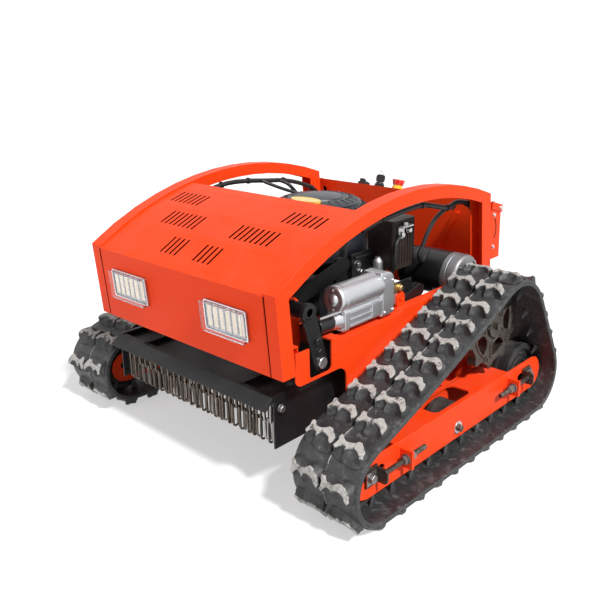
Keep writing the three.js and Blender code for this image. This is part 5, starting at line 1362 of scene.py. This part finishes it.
def make_frame_details():
    seams = []
    for side in (-1, 1):
        outline = [(front_y(z) - 0.5, z) for z in SEAM_ENDS]
        outline += [(y + 4, z) for y, z in reversed(outline)]
        seams.append(plate(outline, "x", side * SEAM_X - 1.1, side * SEAM_X + 1.1))
    finished("front_seams", seams, "chassis", DARK_JOINT_AND_SLOT_SHADE, slot="dark_rubber")
    # Painted shade in the hood's slots, standing for the dark space under the hood.
    finished("painted_slot_shade", painted_slot_shade(), "chassis", DARK_JOINT_AND_SLOT_SHADE)
    # A black plate behind the clevis: partly a black bracket, partly painted shade that hides the floor
    # seen through the gap.
    shade_plate = rounded_slab((297, 455, 366), (298.9, 530, 420), 4, "x", 3, 0.5)
    studs = [bolt((298.9, y, 413), "x", 8, 3, 0) for y in (465, 520)]
    on_both_sides("flange_shield_{}", [shade_plate, *studs], "chassis", BLACK_COAT)
    brace = plate([(237, 528), (221, 528), (152, 405), (168, 405)], "y", 845.5, 850.6)
    round_edges(brace, 0.8, 1, 40)
    on_both_sides("rear_brace_{}", [brace], "chassis", RED_COAT)
    for name, side in SIDES:
        out = (side, 0, 0)
        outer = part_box(f"lift_lever_{name}")[1 if side > 0 else 0].x / MM
        cap = turned([(-8, 0), (-8, 13), (-2, 13), (-1, 12), (-1, 0)], (outer, *LEVER_PIN), out, 32)
        finished(f"lever_pin_{name}", [cap], "lift", ZINC)
        face = side * LEVER_FACE
        boss = [
            turned([(0, 0), (0, 20), (3, 19), (6, 14), (6, 10), (4, 9), (4, 0)],
                   (face, *LIFT_PIVOT), out, 32),
            bolt((face, 132, 372), out, 15, 5.4, 12),
            bolt((face, 139, 345), out, 13, 5, 10),
        ]
        finished(f"lever_boss_{name}", boss, "lift", BLACK_COAT)
    bolts = [bolt((side * 300, CURTAIN_Y, CURTAIN_Z), (side, 0, 0), 14, 7, 10) for side in (-1, 1)]
    finished("curtain_rod_bolts", bolts, "chain_curtain", DULL_ZINC)


# Chain curtain

CURTAIN_Y = 47
CURTAIN_Z = 232
CHAIN_PITCH = 24
CHAIN_COUNT = 24
LINK_WIDTH = 18
LINK_LENGTH = 58
LINK_WIRE = 5.2
ROW_GAP = 2


def chain_link():
    """One long link: a ring whose halves are pulled apart, hanging from the origin."""
    wire = LINK_WIRE / 2
    link = settle(started(
        bpy.ops.mesh.primitive_torus_add, major_segments=20, minor_segments=8,
        major_radius=(LINK_WIDTH / 2 - wire) * MM, minor_radius=wire * MM, rotation=(math.pi / 2, 0, 0),
    ))
    stretch = (LINK_LENGTH - LINK_WIDTH) / 2 * MM
    for vertex in link.data.vertices:
        vertex.co.z += stretch if vertex.co.z > 1e-7 else -stretch if vertex.co.z < -1e-7 else 0
    link.data.transform(Matrix.Translation((0, 0, -LINK_LENGTH / 2 * MM + LINK_WIRE * MM)))
    return link


def make_chain_curtain():
    chance = random.Random(19)
    link = chain_link()
    parts, lit_links, shaded = [], [], []
    for back in (0, 1):
        for i in range(CHAIN_COUNT - back):
            x = (i - (CHAIN_COUNT - 1 - back) / 2) * CHAIN_PITCH
            sway = Matrix.Rotation(math.radians(chance.uniform(-3, 3)), 4, "Y")
            for k in range(2):
                drop = k * (LINK_LENGTH - LINK_WIRE * 2) + 3 * back
                yaw = math.radians((90 if k == back else 0) + chance.uniform(-34, 34) / (1 + back))
                place = Matrix.Translation(spot(x, CURTAIN_Y + ROW_GAP * back, CURTAIN_Z + 4.2)) @ sway
                hang = Matrix.Translation((0, 0, -drop * MM)) @ Matrix.Rotation(yaw, 4, "Z")
                # The two chains at the lit end take a paler steel as painted light, and the back row the
                # darker oiled iron as painted shade.
                row = shaded if back else lit_links if i >= CHAIN_COUNT - 2 else parts
                row.append(copied(link, place @ hang))
    bpy.data.objects.remove(link)
    end = [(-306, 0), (-306, 6), (-300, 6.6), (-298, 6.6), (-298, 4.2)]
    rod = turned(end + [(-x, r) for x, r in reversed(end)], (0, CURTAIN_Y, CURTAIN_Z), "x", 16)
    finished("hanging_chains", [rod, *parts], "chain_curtain", CHAIN_STEEL, "chain_curtain", angle=50)
    finished("rear_chains", shaded, "chain_curtain", OILED_IRON, angle=50)
    finished("end_chains", lit_links, "chain_curtain", CHAIN_PAINTED_LIGHT, angle=50)


# Light and floor

def light_scene():
    scene = bpy.context.scene
    scene.view_settings.view_transform = "Standard"
    world = bpy.data.worlds.new("studio")
    world.use_nodes = True
    scene.world = world
    net = Net(world.node_tree)
    back = world.node_tree.nodes["Background"]
    back.inputs["Color"].default_value = (1, 1, 1, 1)
    net.wire(net.span(seen_directly(net), 0.0, 1.0, 0.30, 1.0), back.inputs["Strength"])
    key = bpy.data.lights.new("key", "SUN")
    key.energy = 3.9
    key.angle = math.radians(7)
    lamp = bpy.data.objects.new("key", key)
    lamp.matrix_world = turn_to((0.66, -0.13, 0.74))
    scene.collection.objects.link(lamp)
    fill = bpy.data.lights.new("fill", "AREA")
    fill.energy = 22
    fill.size = 2.4
    soft = bpy.data.objects.new("fill", fill)
    soft.matrix_world = Matrix.Translation((-1.2, -3.0, 1.2)) @ turn_to((-1.2, -3.0, 0.8))
    scene.collection.objects.link(soft)


def seen_directly(net):
    """1 for what the camera, a reflection or a clear cover sees, and 0 for diffuse light."""
    path = net.add("ShaderNodeLightPath")
    rays = net.maths("ADD", path.outputs["Is Camera Ray"], path.outputs["Is Glossy Ray"])
    return net.maths("ADD", rays, path.outputs["Is Transmission Ray"], True)


def lay_floor():
    floor = started(bpy.ops.mesh.primitive_plane_add, size=60)
    floor.name = "floor"
    material = bpy.data.materials.new("floor")
    material.use_nodes = True
    net = Net(material.node_tree)
    shader = material.node_tree.nodes["Principled BSDF"]
    looks = {"Base Color": (0.6, 0.6, 0.6, 1), "Roughness": 1.0, "Specular IOR Level": 0.0,
             "Emission Color": (1, 1, 1, 1)}
    for label, value in looks.items():
        shader.inputs[label].default_value = value
    net.wire(net.span(seen_directly(net), 0.0, 1.0, 0.0, 0.50), shader.inputs["Emission Strength"])
    floor.data.materials.append(material)


def dress_model_pieces():
    """Every model piece that still shows gets the finish of its material slot."""
    for name, obj in nodes.items():
        obj.material_slots[0].material = FINISH_OF_SLOT[slot_of[name]].material


for make in (
    place_camera, dress_model_pieces, light_scene, lay_floor, round_model_pieces, make_tracks,
    make_wheels, make_sprocket_rims, make_track_fasteners, make_motors, make_actuator, make_engine,
    make_lamps, make_controls, make_looms, make_frame_details, make_chain_curtain,
):
    make()
